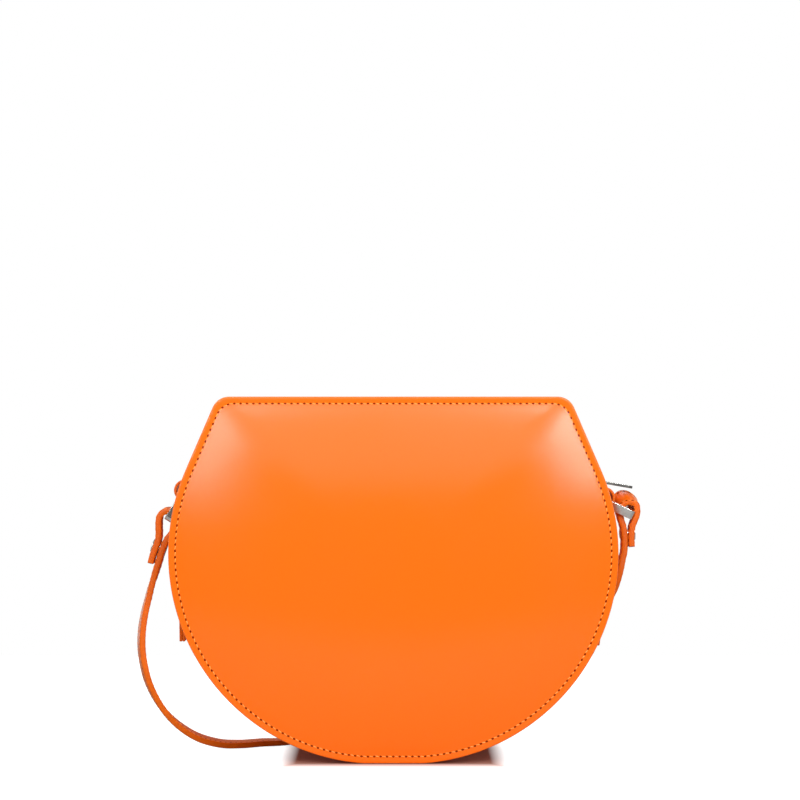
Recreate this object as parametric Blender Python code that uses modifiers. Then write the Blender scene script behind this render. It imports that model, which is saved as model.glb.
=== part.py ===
"""Half moon shoulder bag in smooth orange leather.

Units are metres, +Z is up, +X is the bag's right seen from the front, and the front faces -Y.
The origin is on the resting surface, under the middle of the bag.
"""

import math

import bmesh
import bpy
from mathutils import Matrix, Vector

# Overall form of the two panels. The middles of the two round sides stand ARC_SPREAD apart, and
# the bag's weight presses the foot flat by FOOT_PRESS.
BAG_WIDTH = 0.210
BAG_HEIGHT = 0.171
BAG_DEPTH = 0.075
ARC_SPREAD = 0.014
FOOT_PRESS = 0.00025
SLANT_ANGLE = math.radians(23.4)
CORNER_RADIUS = 0.0085
PANEL_CROWN = 0.0040

# Sheets
PANEL_LEATHER = 0.0016
GUSSET_LEATHER = 0.0014
BOARD_THICKNESS = 0.0010
LINING_THICKNESS = 0.0006
TAPE_THICKNESS = 0.0006
GAP = 0.0003

# Gusset
GUSSET_RECESS = 0.0065
GUSSET_CORNER = 0.0090
SPLIT_ANGLE = math.radians(14.5)
SPLIT_GAP = 0.0006

# Zip
SLOT_WIDTH = 0.0105
TAPE_WIDTH = 0.0130
TOOTH_PITCH = 0.0025
TOOTH_WIDTH = 0.00095
TOOTH_LENGTH = 0.0022
TOOTH_HEIGHT = 0.0020
TOOTH_BEAD = 0.0006
ZIP_PARTING = 0.0013
STOP_LENGTH = 0.0030
SLIDER_LENGTH = 0.0100
SLIDER_PLATE = 0.0012
SLIDER_CLEARANCE = 0.0006
SLIDER_LIP = 0.0005
SLIDER_START = 0.0040
SLIDER_SEAT = 0.00025
BRIDGE_HEIGHT = 0.0036
BRIDGE_WIDTH = 0.0024
BRIDGE_BAR = 0.0011
BRIDGE_CHAMFER = 0.0008
PULL_LENGTH = 0.0180
PULL_WIDTH = 0.0070
PULL_THICKNESS = 0.0012
PULL_REST = math.radians(-10.0)

# Side tabs and rings. A ring hangs below the foot of the slant by its drop, and a tab ends in
# from the bag's side and below the middle of its round side.
TAB_WIDTH = 0.0130
TAB_LEATHER = 0.0015
TAB_LOOP_RADIUS = 0.0038
TAB_LOOP_OPENING = math.radians(40.0)
RING_LENGTH = 0.0150
RING_BAR = 0.0022
RING_BAND = 0.0042
RING_PLAY = 0.0020
RING_CORNER = 0.0020
LEFT_RING_DROP = 0.01032
RIGHT_RING_DROP = 0.01392
LEFT_RING_REST = math.radians(60.0)
RIGHT_RING_REST = math.radians(28.0)
LEFT_TAB_FOOT = (0.0043, 0.0434)
RIGHT_TAB_FOOT = (0.0072, 0.0453)
TAB_PINCH_DROP = 0.0086
TAB_BEND_DROP = 0.0060

# Strap
STRAP_WIDTH = 0.0120
STRAP_THICKNESS = 0.0030
COIL_CENTRE = (0.0, 0.100)
COIL_RADIUS = 0.050
COIL_PITCH = 0.016
COIL_STEPS = 18
STUD_RADIUS = 0.0015
STUD_HEAD_RADIUS = 0.0042
STUD_HEAD = 0.0010
STUD_SEAT = 0.0006
# For each stud: its middle from the ring's bar, the spacing of the strap's legs, its outward tilt
STUDS = {
    "left": ((-0.004985, -0.015110), 0.0048, math.radians(162.0)),
    "right": ((-0.001862, -0.012458), 0.0038, math.radians(2.0)),
}

# Slip pocket
POCKET_WIDTH = 0.110
POCKET_HEIGHT = 0.070
POCKET_BOTTOM = 0.045

# How finely the curves are drawn
ARC_STEPS = 15
CORNER_STEPS = 4
ZIP_SAMPLES = 6
TAB_LOOP_STEPS = 10
TAB_SEAT_STEPS = 3
RING_CORNER_STEPS = 3
STUD_STEPS = 16
PANEL_RINGS = (1.0, 0.93, 0.82, 0.66, 0.45, 0.22)
LAYER_RINGS = (1.0, 0.82, 0.45)

# Derived from the sizes above
HALF_DEPTH = BAG_DEPTH / 2
ARC_RADIUS = (BAG_WIDTH - ARC_SPREAD) / 2
ARC_X = ARC_SPREAD / 2
ARC_Z = ARC_RADIUS - FOOT_PRESS
ARC_FIRST = math.acos(ARC_Z / ARC_RADIUS) - math.pi / 2
SLANT_FOOT = ARC_Z + ARC_RADIUS * math.sin(SLANT_ANGLE)
DOME_CENTRE = BAG_HEIGHT * 0.515
FLANGE_FACE = HALF_DEPTH - PANEL_LEATHER - GAP
FLANGE_MIDDLE = FLANGE_FACE - GUSSET_LEATHER / 2
WALL_MIDDLE = GUSSET_RECESS + GUSSET_LEATHER / 2
INNER_INSET = GUSSET_RECESS + GUSSET_LEATHER + GAP
BOARD_MIDDLE = HALF_DEPTH - PANEL_LEATHER - GAP - BOARD_THICKNESS / 2
LINING_MIDDLE = BOARD_MIDDLE - BOARD_THICKNESS / 2 - GAP - LINING_THICKNESS / 2
TAPE_MIDDLE = INNER_INSET + TAPE_THICKNESS / 2
TAPE_EDGE = ZIP_PARTING / 2 + TOOTH_LENGTH + GAP
RING_INNER_WIDTH = STRAP_WIDTH + RING_PLAY
LEFT_PIVOT_HEIGHT = SLANT_FOOT - LEFT_RING_DROP
RIGHT_PIVOT_HEIGHT = SLANT_FOOT - RIGHT_RING_DROP
SLIDER_TOP = TOOTH_HEIGHT / 2 + SLIDER_CLEARANCE + SLIDER_PLATE
TAB_MIDDLE_RADIUS = TAB_LOOP_RADIUS + TAB_LEATHER / 2
STRAP_MIDDLE_RADIUS = math.hypot(RING_BAR, RING_BAND) / 2 + GAP + STRAP_THICKNESS / 2


def clear_scene():
    for item in list(bpy.data.objects):
        bpy.data.objects.remove(item, do_unlink=True)


def new_collection(name):
    group = bpy.data.collections.new(name)
    bpy.context.scene.collection.children.link(group)
    return group


def make_material(name, colour, roughness, metallic=0.0):
    material = bpy.data.materials.new(name)
    material.use_nodes = True
    shader = material.node_tree.nodes["Principled BSDF"]
    shader.inputs["Base Color"].default_value = (*colour, 1.0)
    shader.inputs["Roughness"].default_value = roughness
    shader.inputs["Metallic"].default_value = metallic
    return material


def add_mesh(name, bm, material, group):
    mesh = bpy.data.meshes.new(name)
    bmesh.ops.recalc_face_normals(bm, faces=bm.faces)
    bm.to_mesh(mesh)
    bm.free()
    mesh.materials.append(material)
    item = bpy.data.objects.new(name, mesh)
    group.objects.link(item)
    return item


def solidify(item, thickness):
    """Thicken an open middle surface equally to both sides."""
    modifier = item.modifiers.new("Sheet", "SOLIDIFY")
    modifier.thickness = thickness
    modifier.offset = 0.0
    modifier.use_even_offset = True


def skin(bm, rows, closed=False):
    """Join rows of points by faces; closed joins each row's last point to its first."""
    grid = [[bm.verts.new(point) for point in row] for row in rows]
    for near, far in zip(grid, grid[1:]):
        count = len(near)
        for i in range(count if closed else count - 1):
            j = (i + 1) % count
            bm.faces.new((near[i], near[j], far[j], far[i]))
    return grid


def outline_point(station, inset, corner_radius):
    """Point (x, z) on the outline drawn in by inset.

    Stations run 0 to 1 along the flat foot, to 2 round the side, to 3 up the slant, to 4 round
    the corner and to 5 along the top. A negative station is the same point on the left.
    """
    side = -1 if station < 0 else 1
    place = abs(station)
    radius = ARC_RADIUS - inset
    outward = Vector((math.cos(SLANT_ANGLE), math.sin(SLANT_ANGLE)))
    upward = Vector((-math.sin(SLANT_ANGLE), math.cos(SLANT_ANGLE)))
    top = BAG_HEIGHT - inset
    middle = Vector((ARC_X, ARC_Z))
    slant_start = middle + outward * radius
    crossing = slant_start + upward * ((top - slant_start.y) / upward.y)
    tangent = corner_radius * math.tan((math.pi / 2 - SLANT_ANGLE) / 2)
    slant_end = crossing - upward * tangent
    if place <= 1:
        foot = middle + radius * Vector((math.cos(ARC_FIRST), math.sin(ARC_FIRST)))
        point = Vector((foot.x * place, foot.y))
    elif place <= 2:
        turn = outline_angle(place)
        point = middle + radius * Vector((math.cos(turn), math.sin(turn)))
    elif place <= 3:
        point = slant_start.lerp(slant_end, place - 2)
    elif place <= 4:
        turn = outline_angle(place)
        centre = slant_end - outward * corner_radius
        point = centre + corner_radius * Vector((math.cos(turn), math.sin(turn)))
    else:
        point = Vector(((crossing.x - tangent) * (5 - place), top))
    return Vector((side * point.x, point.y))


def outline_angle(station):
    """Direction of the outward normal on the right half, from +X towards +Z."""
    place = abs(station)
    if place <= 1:
        return -math.pi / 2
    if place <= 2:
        return ARC_FIRST + (place - 1) * (SLANT_ANGLE - ARC_FIRST)
    if place <= 3:
        return SLANT_ANGLE
    if place <= 4:
        return SLANT_ANGLE + (place - 3) * (math.pi / 2 - SLANT_ANGLE)
    return math.pi / 2


def arc_station(angle):
    """Station on the round side whose normal rises by angle above level."""
    return 1 + (angle - ARC_FIRST) / (SLANT_ANGLE - ARC_FIRST)


def half_stations(first, last):
    """Stations from first up to last on one half, with every bend between them."""
    bends = [0, 1]
    bends += [1 + (i + 1) / ARC_STEPS for i in range(ARC_STEPS)]
    bends += [2.5, 3]
    bends += [3 + (i + 1) / CORNER_STEPS for i in range(CORNER_STEPS)]
    bends += [4.5, 5]
    between = [place for place in bends if first + 1e-6 < place < last - 1e-6]
    return [first] + between + [last]


def lower_stations():
    """From the left end of the gusset, under the bag, to the right end."""
    right = half_stations(0, arc_station(SPLIT_ANGLE - SPLIT_GAP / ARC_RADIUS))
    return [-place for place in reversed(right[1:])] + right


def upper_stations():
    """From the right end of the zip panel, over the top, to the left end."""
    right = half_stations(arc_station(SPLIT_ANGLE), 5)
    return right + [-place for place in reversed(right[:-1])]


def loop_stations():
    """All round the outline, without a repeated point."""
    right = half_stations(0, 5)
    return right + [-place for place in reversed(right[1:-1])]


def ribbon(name, stations, profile, thickness, material, group):
    """A sheet that follows the outline; profile lists (inset, y, corner radius) across it."""
    bm = bmesh.new()
    rows = []
    for station in stations:
        row = []
        for inset, y, corner in profile:
            point = outline_point(station, inset, corner)
            row.append((point.x, y, point.y))
        rows.append(row)
    skin(bm, rows)
    item = add_mesh(name, bm, material, group)
    solidify(item, thickness)
    return item


def dome_surface(side, middle, fractions, rim):
    """Open middle surface of a panel layer; side is -1 in front and 1 behind.

    The layer is flat to the inner inset, then crowns outward along rings shrunk to each fraction.
    """
    bm = bmesh.new()
    rows = []
    if rim:
        outer = [outline_point(place, 0, CORNER_RADIUS) for place in loop_stations()]
        rows.append([(point.x, side * middle, point.y) for point in outer])
    inner = [outline_point(place, INNER_INSET, GUSSET_CORNER) for place in loop_stations()]
    centre = Vector((0.0, DOME_CENTRE))
    for fraction in fractions:
        y = side * (middle + PANEL_CROWN * (1 - fraction**3))
        points = [centre + (point - centre) * fraction for point in inner]
        rows.append([(point.x, y, point.y) for point in points])
    grid = skin(bm, rows, closed=True)
    last = grid[-1]
    hub = bm.verts.new((centre.x, side * (middle + PANEL_CROWN), centre.y))
    for i, vertex in enumerate(last):
        bm.faces.new((vertex, last[(i + 1) % len(last)], hub))
    return bm


def make_panels(side, place, materials, group):
    """Leather panel, stiffening board and lining of one face."""
    bm = dome_surface(side, HALF_DEPTH - PANEL_LEATHER / 2, PANEL_RINGS, True)
    panel = add_mesh(place + "_panel", bm, materials["leather"], group)
    solidify(panel, PANEL_LEATHER)
    bm = dome_surface(side, BOARD_MIDDLE, LAYER_RINGS, False)
    board = add_mesh(place + "_board", bm, materials["board"], group)
    solidify(board, BOARD_THICKNESS)
    bm = dome_surface(side, LINING_MIDDLE, LAYER_RINGS, False)
    lining = add_mesh(place + "_lining", bm, materials["lining"], group)
    solidify(lining, LINING_THICKNESS)


def cut_away(bm, point, outward):
    """Remove what lies beyond a plane through point."""
    geometry = bm.verts[:] + bm.edges[:] + bm.faces[:]
    bmesh.ops.bisect_plane(bm, geom=geometry, plane_co=point, plane_no=outward, clear_outer=True)


def make_slip_pocket(materials, group):
    """Lining patch sewn inside the back, open along its top."""
    middle = LINING_MIDDLE - LINING_THICKNESS - GAP
    bm = dome_surface(1, middle, LAYER_RINGS, False)
    cut_away(bm, (POCKET_WIDTH / 2, 0, 0), (1, 0, 0))
    cut_away(bm, (-POCKET_WIDTH / 2, 0, 0), (-1, 0, 0))
    cut_away(bm, (0, 0, POCKET_BOTTOM), (0, 0, -1))
    cut_away(bm, (0, 0, POCKET_BOTTOM + POCKET_HEIGHT), (0, 0, 1))
    pocket = add_mesh("slip_pocket", bm, materials["lining"], group)
    solidify(pocket, LINING_THICKNESS)


def make_gusset(materials, group):
    """Band round the foot and sides, its edges turned out against the panels, and its lining."""
    profile = [
        (0, -FLANGE_MIDDLE, CORNER_RADIUS),
        (WALL_MIDDLE, -FLANGE_MIDDLE, GUSSET_CORNER),
        (WALL_MIDDLE, FLANGE_MIDDLE, GUSSET_CORNER),
        (0, FLANGE_MIDDLE, CORNER_RADIUS),
    ]
    ribbon("lower_gusset", lower_stations(), profile, GUSSET_LEATHER, materials["leather"], group)
    inset = INNER_INSET + LINING_THICKNESS / 2
    edge = LINING_MIDDLE - LINING_THICKNESS / 2 - GAP
    profile = [(inset, -edge, GUSSET_CORNER), (inset, edge, GUSSET_CORNER)]
    stations = lower_stations()[1:-1]
    ribbon("gusset_lining", stations, profile, LINING_THICKNESS, materials["lining"], group)


def make_zip_panel(side, place, materials, group):
    """Leather strip and zip tape along one side of the opening."""
    profile = [
        (0, side * FLANGE_MIDDLE, CORNER_RADIUS),
        (WALL_MIDDLE, side * FLANGE_MIDDLE, GUSSET_CORNER),
        (WALL_MIDDLE, side * SLOT_WIDTH / 2, GUSSET_CORNER),
    ]
    name = "zip_strip_" + place
    ribbon(name, upper_stations(), profile, GUSSET_LEATHER, materials["leather"], group)
    profile = [
        (TAPE_MIDDLE, side * TAPE_EDGE, GUSSET_CORNER),
        (TAPE_MIDDLE, side * (TAPE_EDGE + TAPE_WIDTH), GUSSET_CORNER),
    ]
    name = "zip_tape_" + place
    ribbon(name, upper_stations(), profile, TAPE_THICKNESS, materials["tape"], group)


def zip_line():
    """Fine list of (point, outward normal angle) along the middle of the zip, right to left."""
    places = []
    halves = half_stations(arc_station(SPLIT_ANGLE), 5)
    for near, far in zip(halves, halves[1:]):
        places += [near + (far - near) * i / ZIP_SAMPLES for i in range(ZIP_SAMPLES)]
    places += [5]
    line = []
    for place in places:
        line.append((outline_point(place, TAPE_MIDDLE, GUSSET_CORNER), outline_angle(place)))
    mirrored = []
    for point, angle in reversed(line[:-1]):
        mirrored.append((Vector((-point.x, point.y)), math.pi - angle))
    return line + mirrored


def along_zip(distance):
    """Point and outward normal angle on the zip at a distance from its right end."""
    line = zip_line()
    walked = 0.0
    for (near, near_angle), (far, far_angle) in zip(line, line[1:]):
        step = (far - near).length
        if walked + step >= distance:
            share = (distance - walked) / step
            return near.lerp(far, share), near_angle + (far_angle - near_angle) * share
        walked += step
    return line[-1]


def zip_length():
    line = zip_line()
    return sum((far[0] - near[0]).length for near, far in zip(line, line[1:]))


def make_zip_teeth(side, place, materials, group):
    """One row of teeth standing on the bead at the edge of its tape."""
    bm = bmesh.new()
    start = STOP_LENGTH + TOOTH_PITCH
    count = int((zip_length() - 2 * start) / TOOTH_PITCH)
    first = (zip_length() - (count - 1) * TOOTH_PITCH) / 2 + side * TOOTH_PITCH / 4
    edge = ZIP_PARTING / 2 + TOOTH_LENGTH
    rows = []
    for i in range(count):
        for end in (-1, 1):
            distance = first + i * TOOTH_PITCH + end * TOOTH_WIDTH / 2
            point, angle = along_zip(distance)
            across = (edge, edge - TOOTH_BEAD, ZIP_PARTING / 2)
            rows.append([bm.verts.new((point.x, side * y, point.y)) for y in across])
    for near, far in zip(rows, rows[1:]):
        bm.faces.new((near[0], near[1], far[1], far[0]))
    for near, far in zip(rows[::2], rows[1::2]):
        bm.faces.new((near[1], near[2], far[2], far[1]))
    teeth = add_mesh("zip_teeth_" + place, bm, materials["metal"], group)
    solidify(teeth, TOOTH_HEIGHT)


def make_zip_stop(name, distance, materials, group):
    """Metal block across both tapes at one end of the zip."""
    point, angle = along_zip(distance)
    turn = Matrix.Rotation(math.pi / 2 - angle, 4, "Y")
    size = (STOP_LENGTH - 2 * GAP, 2 * (TAPE_EDGE - GAP), TOOTH_HEIGHT, 1.0)
    placement = Matrix.Translation((point.x, 0, point.y)) @ turn @ Matrix.Diagonal(size)
    bm = bmesh.new()
    bmesh.ops.create_cube(bm, size=1.0, matrix=placement)
    add_mesh(name, bm, materials["metal"], group)


def flat_piece(name, outlines, thickness, placement, material, group):
    """Plate from flat outlines, the later ones holes, centred on its plane and then placed."""
    curve = bpy.data.curves.new(name + "_outline", "CURVE")
    curve.dimensions = "2D"
    curve.fill_mode = "BOTH"
    curve.extrude = thickness / 2
    for outline in outlines:
        spline = curve.splines.new("POLY")
        spline.points.add(len(outline) - 1)
        for point, (x, y) in zip(spline.points, outline):
            point.co = (x, y, 0.0, 1.0)
        spline.use_cyclic_u = True
    guide = bpy.data.objects.new(name + "_outline", curve)
    group.objects.link(guide)
    depsgraph = bpy.context.evaluated_depsgraph_get()
    mesh = bpy.data.meshes.new_from_object(guide.evaluated_get(depsgraph))
    bpy.data.objects.remove(guide, do_unlink=True)
    bm = bmesh.new()
    bm.from_mesh(mesh)
    bpy.data.meshes.remove(mesh)
    bmesh.ops.remove_doubles(bm, verts=bm.verts, dist=0.00001)
    item = add_mesh(name, bm, material, group)
    item.matrix_world = placement
    return item


def axes_matrix(x_axis, y_axis, z_axis, origin):
    """Placement whose local axes point as given."""
    matrix = Matrix((x_axis, y_axis, z_axis)).transposed().to_4x4()
    matrix.translation = origin
    return matrix


def boolean(item, tool, operation, cutters):
    """Join or cut item by tool, which stays in the cutters' collection."""
    modifier = item.modifiers.new(operation.title(), "BOOLEAN")
    modifier.operation = operation
    modifier.object = tool
    modifier.solver = "EXACT"
    for group in list(tool.users_collection):
        group.objects.unlink(tool)
    cutters.objects.link(tool)
    tool.hide_render = True
    tool.display_type = "WIRE"


def mirrored_outline(half):
    """Whole outline from its half at +x, listed top to bottom."""
    return half + [(-x, y) for x, y in reversed(half)]


def slider_frame():
    """Centre of the slider, the way it closes and the way it faces."""
    slant = outline_point(2, TAPE_MIDDLE, GUSSET_CORNER)
    closing = Vector((math.sin(SLANT_ANGLE), 0, -math.cos(SLANT_ANGLE)))
    outward = Vector((math.cos(SLANT_ANGLE), 0, math.sin(SLANT_ANGLE)))
    centre = Vector((slant.x, 0, slant.y)) + closing * SLIDER_START - outward * SLIDER_SEAT
    return centre, closing, outward


def pull_pivot():
    centre, closing, outward = slider_frame()
    return centre + outward * (SLIDER_TOP + (BRIDGE_HEIGHT - BRIDGE_BAR) / 2)


def make_slider(materials, group, cutters):
    """Slider body: two lipped plates on a neck, with a bridge for the pull."""
    centre, closing, outward = slider_frame()
    plate = SLIDER_TOP - SLIDER_PLATE
    neck = ZIP_PARTING / 2 - GAP
    edge = TAPE_EDGE + SLIDER_PLATE
    half = [
        (edge, SLIDER_TOP),
        (edge, plate - SLIDER_LIP),
        (TAPE_EDGE, plate - SLIDER_LIP),
        (TAPE_EDGE, plate),
        (neck, plate),
        (neck, -plate),
        (TAPE_EDGE, -plate),
        (TAPE_EDGE, SLIDER_LIP - plate),
        (edge, SLIDER_LIP - plate),
        (edge, -SLIDER_TOP),
    ]
    placement = axes_matrix(Vector((0, 1, 0)), outward, -closing, centre)
    slider = flat_piece(
        "zip_slider", [mirrored_outline(half)], SLIDER_LENGTH, placement, materials["metal"], group
    )
    foot = SLIDER_TOP - SLIDER_PLATE / 2
    top = SLIDER_TOP + BRIDGE_HEIGHT
    reach = SLIDER_LENGTH / 2 - SLIDER_PLATE
    half = [
        (reach - BRIDGE_CHAMFER, top),
        (reach, top - BRIDGE_CHAMFER),
        (reach, foot),
        (reach - BRIDGE_BAR, foot),
        (reach - BRIDGE_BAR, top - BRIDGE_BAR),
    ]
    placement = axes_matrix(-closing, outward, Vector((0, 1, 0)), centre)
    bridge = flat_piece(
        "slider_bridge", [mirrored_outline(half)], BRIDGE_WIDTH, placement, materials["metal"], group
    )
    boolean(slider, bridge, "UNION", cutters)


def make_pull(materials, group):
    """Flat pull with a window, its end bar held under the slider's bridge."""
    bar = PULL_THICKNESS / 2
    half_width = PULL_WIDTH / 2
    window = BRIDGE_WIDTH / 2 + 2 * GAP
    outer = [
        (-bar, half_width),
        (PULL_LENGTH - half_width / 2, half_width),
        (PULL_LENGTH, half_width / 2),
        (PULL_LENGTH, -half_width / 2),
        (PULL_LENGTH - half_width / 2, -half_width),
        (-bar, -half_width),
    ]
    far = SLIDER_LENGTH / 2
    inner = [(bar, window), (far, window), (far, -window), (bar, -window)]
    along = Vector((math.cos(PULL_REST), 0, math.sin(PULL_REST)))
    up = Vector((-math.sin(PULL_REST), 0, math.cos(PULL_REST)))
    placement = axes_matrix(along, Vector((0, -1, 0)), -up, pull_pivot())
    flat_piece("zip_pull", [outer, inner], PULL_THICKNESS, placement, materials["metal"], group)


def wall_x(height):
    """Outer face of the gusset on the right at a height on the round side."""
    radius = ARC_RADIUS - GUSSET_RECESS
    return ARC_X + math.sqrt(radius**2 - (height - ARC_Z) ** 2)


def ring_pivot(height):
    """Ring hinge on the right at a height, where the tab's loop rests on the gusset."""
    return Vector((wall_x(height) + GAP + TAB_LOOP_RADIUS + TAB_LEATHER, 0, height))


def ring_frame(side, height, rest):
    """Pivot of a ring, the way it points and its plane's upper face."""
    pivot = ring_pivot(height)
    along = Vector((math.cos(rest), 0, -math.sin(rest)))
    up = Vector((math.sin(rest), 0, math.cos(rest)))
    mirror = Vector((side, 1, 1))
    return pivot * mirror, along * mirror, up * mirror


def ring_bar_centre(place):
    """Middle of the bar that holds the strap."""
    if place == "left":
        pivot, along, up = ring_frame(-1, LEFT_PIVOT_HEIGHT, LEFT_RING_REST)
    else:
        pivot, along, up = ring_frame(1, RIGHT_PIVOT_HEIGHT, RIGHT_RING_REST)
    return pivot + along * RING_LENGTH


def rounded_rectangle(left, right, half_height, corner):
    """Outline with its corners rounded, from left to right and half_height to each side."""
    points = []
    middle = (left + right) / 2
    for quarter in range(4):
        turn = quarter * math.pi / 2
        across = right - middle if quarter in (0, 3) else left - middle
        side = 1 if quarter in (0, 1) else -1
        x = middle + across - math.copysign(corner, across)
        y = side * (half_height - corner)
        for step in range(RING_CORNER_STEPS + 1):
            angle = turn + step * math.pi / 2 / RING_CORNER_STEPS
            points.append((x + corner * math.cos(angle), y + corner * math.sin(angle)))
    return points


def make_ring(side, place, height, rest, materials, group):
    """Flat wire ring bent to a rectangle, one bar through the tab and one through the strap."""
    pivot, along, up = ring_frame(side, height, rest)
    bar = RING_BAR / 2
    half = RING_INNER_WIDTH / 2
    outer = rounded_rectangle(-bar, RING_LENGTH + bar, half + RING_BAR, RING_CORNER)
    inner = rounded_rectangle(bar, RING_LENGTH - bar, half, RING_CORNER - RING_BAR / 2)
    placement = axes_matrix(along, up.cross(along), up, pivot)
    name = "ring_" + place
    flat_piece(name, [outer, inner], RING_BAND, placement, materials["metal"], group)


def make_tab(side, place, height, foot, materials, group):
    """Leather strip folded round the ring's bar; both layers lie on the gusset, then hang straight."""
    pivot = ring_pivot(height)
    layer = (TAB_LEATHER + GAP) / 2
    stack = GAP + TAB_LEATHER + GAP / 2
    pinch = height - TAB_PINCH_DROP
    leg = [(BAG_WIDTH / 2 - foot[0], ARC_Z - foot[1])]
    leg.append((wall_x(ARC_Z) + stack, ARC_Z - TAB_BEND_DROP))
    for step in range(TAB_SEAT_STEPS + 1):
        seat = ARC_Z + (pinch - ARC_Z) * step / TAB_SEAT_STEPS
        leg.append((wall_x(seat) + stack, seat))
    path = [(x - layer, z) for x, z in leg]
    spread = math.pi + 2 * TAB_LOOP_OPENING
    for step in range(TAB_LOOP_STEPS + 1):
        angle = math.pi + TAB_LOOP_OPENING - spread * step / TAB_LOOP_STEPS
        x = pivot.x + TAB_MIDDLE_RADIUS * math.cos(angle)
        path.append((x, pivot.z + TAB_MIDDLE_RADIUS * math.sin(angle)))
    path += [(x + layer, z) for x, z in reversed(leg)]
    bm = bmesh.new()
    rows = [[(side * x, -TAB_WIDTH / 2, z), (side * x, TAB_WIDTH / 2, z)] for x, z in path]
    skin(bm, rows)
    tab = add_mesh("side_tab_" + place, bm, materials["leather"], group)
    solidify(tab, TAB_LEATHER)


# Strap route in millimetres: x, y, z and how far the strap has turned from lying across the bag
# (0, its width along Y) to standing on its edge (1). A height of None lies on the surface. It was
# drawn for ring bars at DRAWN_BARS, x and z, and moves with them.
DRAWN_BARS = {"left": (-107.015, 113.610), "right": (113.862, 115.958)}
LEFT_OUTER_LEG = [(-116.4, 0, 91.5, 0), (-115.1, 0, 97, 0), (-113.6, 0, 103, 0), (-112.4, 0, 108, 0)]
LEFT_INNER_LEG = [(-104.6, 0, 108.1, 0), (-107.6, 0, 103.6, 0), (-109.4, 0, 98.8, 0)]
LEFT_DROP = [
    (-111.3, 0, 93.6, 0),
    (-113.2, 0, 88, 0),
    (-115.2, 0, 82, 0),
    (-117.0, 0, 76, 0),
    (-119.0, 0, 68, 0),
    (-120.4, 0, 59, 0),
    (-120.5, 0, 50, 0),
    (-119.2, 0, 41.5, 0),
    (-117.2, 1, 34, 0),
    (-113.6, 3, 26, 0),
    (-108.6, 5, 18.5, 0),
    (-101.8, 9, 11.6, 0),
    (-93.8, 15, 6.2, 0),
    (-84.5, 22, 2.8, 0),
]
LEFT_TWIST = [
    (-75, 28.5, None, 0),
    (-64, 35, None, 0),
    (-53, 40, None, 0.0),
    (-43, 44.5, None, 0.25),
    (-33, 47.5, None, 0.5),
    (-22, 49.2, None, 0.75),
    (-11, 50, None, 0.95),
]
RIGHT_TWIST = [
    (15, 149, None, 1),
    (30, 143.5, None, 1),
    (43, 133.5, None, 1),
    (52, 119.5, None, 1),
    (58, 103, None, 1),
    (62, 87, None, 1),
    (65, 72, 8.5, 1),
    (69, 60, 14, 0.9),
]
RIGHT_DROP = [
    (75.5, 51.5, 22, 0.75),
    (84.5, 44, 33, 0.6),
    (91.5, 38.5, 41, 0.5),
    (96.2, 32.5, 48, 0.4),
    (99.2, 23.5, 56, 0.3),
    (101.8, 14, 64.5, 0.2),
    (103.6, 8, 70, 0.1),
    (105.5, 4, 75, 0),
    (107.3, 1, 81, 0),
    (108.6, 0, 88, 0),
    (109.4, 0, 94, 0),
]
RIGHT_INNER_LEG = [(110.0, 0, 99.2, 0), (110.1, 0, 105, 0), (109.6, 0, 110.5, 0)]
RIGHT_OUTER_LEG = [(116.8, 0, 112.6, 0), (114.6, 0, 109, 0), (113.9, 0, 105, 0), (113.7, 0, 99.9, 0)]


def resting_height(turn):
    """Height of the strap's middle, in millimetres, when its lowest corner lies on the surface."""
    angle = math.atan2(turn, 1 - turn)
    half_height = STRAP_WIDTH / 2 * math.sin(angle) + STRAP_THICKNESS / 2 * math.cos(angle)
    return 1000 * (half_height + GAP / 3)


def loop_round(centre, first, last, steps):
    """Strap points round a ring's bar, from one direction to another in degrees."""
    points = []
    for step in range(steps + 1):
        angle = math.radians(first + (last - first) * step / steps)
        x = centre.x + STRAP_MIDDLE_RADIUS * math.cos(angle)
        points.append((1000 * x, 0, 1000 * (centre.z + STRAP_MIDDLE_RADIUS * math.sin(angle)), 0))
    return points


def fitted(points, place, bar, first=1, last=1):
    """Drawn points moved with a ring's bar, by a share that runs from first to last."""
    drawn = DRAWN_BARS[place]
    moved = []
    for i, (x, y, z, turn) in enumerate(points):
        share = first + (last - first) * i / (len(points) - 1)
        x += share * (1000 * bar.x - drawn[0])
        z += share * (1000 * bar.z - drawn[1])
        moved.append((x, y, z, turn))
    return moved


def coil_strand(first, sign):
    """One strand of the put-away coil, winding inward for a turn from a direction in degrees."""
    points = []
    for step in range(COIL_STEPS + 1):
        share = step / COIL_STEPS
        angle = math.radians(first) + 2 * math.pi * share
        radius = COIL_RADIUS - COIL_PITCH * share
        x = COIL_CENTRE[0] + radius * math.cos(angle)
        y = COIL_CENTRE[1] + radius * math.sin(angle)
        points.append((1000 * x, 1000 * y, None, 1))
    return points if sign > 0 else points[::-1]


def coil_middle():
    """The S that joins the two strands through the middle of the coil."""
    small = (COIL_RADIUS - COIL_PITCH) / 2
    points = []
    for side in (-1, 1):
        for step in range(1, COIL_STEPS // 3 + (side < 0)):
            angle = math.pi * step / (COIL_STEPS // 3)
            x = COIL_CENTRE[0] - side * small * math.sin(angle)
            y = COIL_CENTRE[1] + side * (small - side * small * math.cos(angle))
            points.append((1000 * x, 1000 * y, None, 1))
    return points


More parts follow.
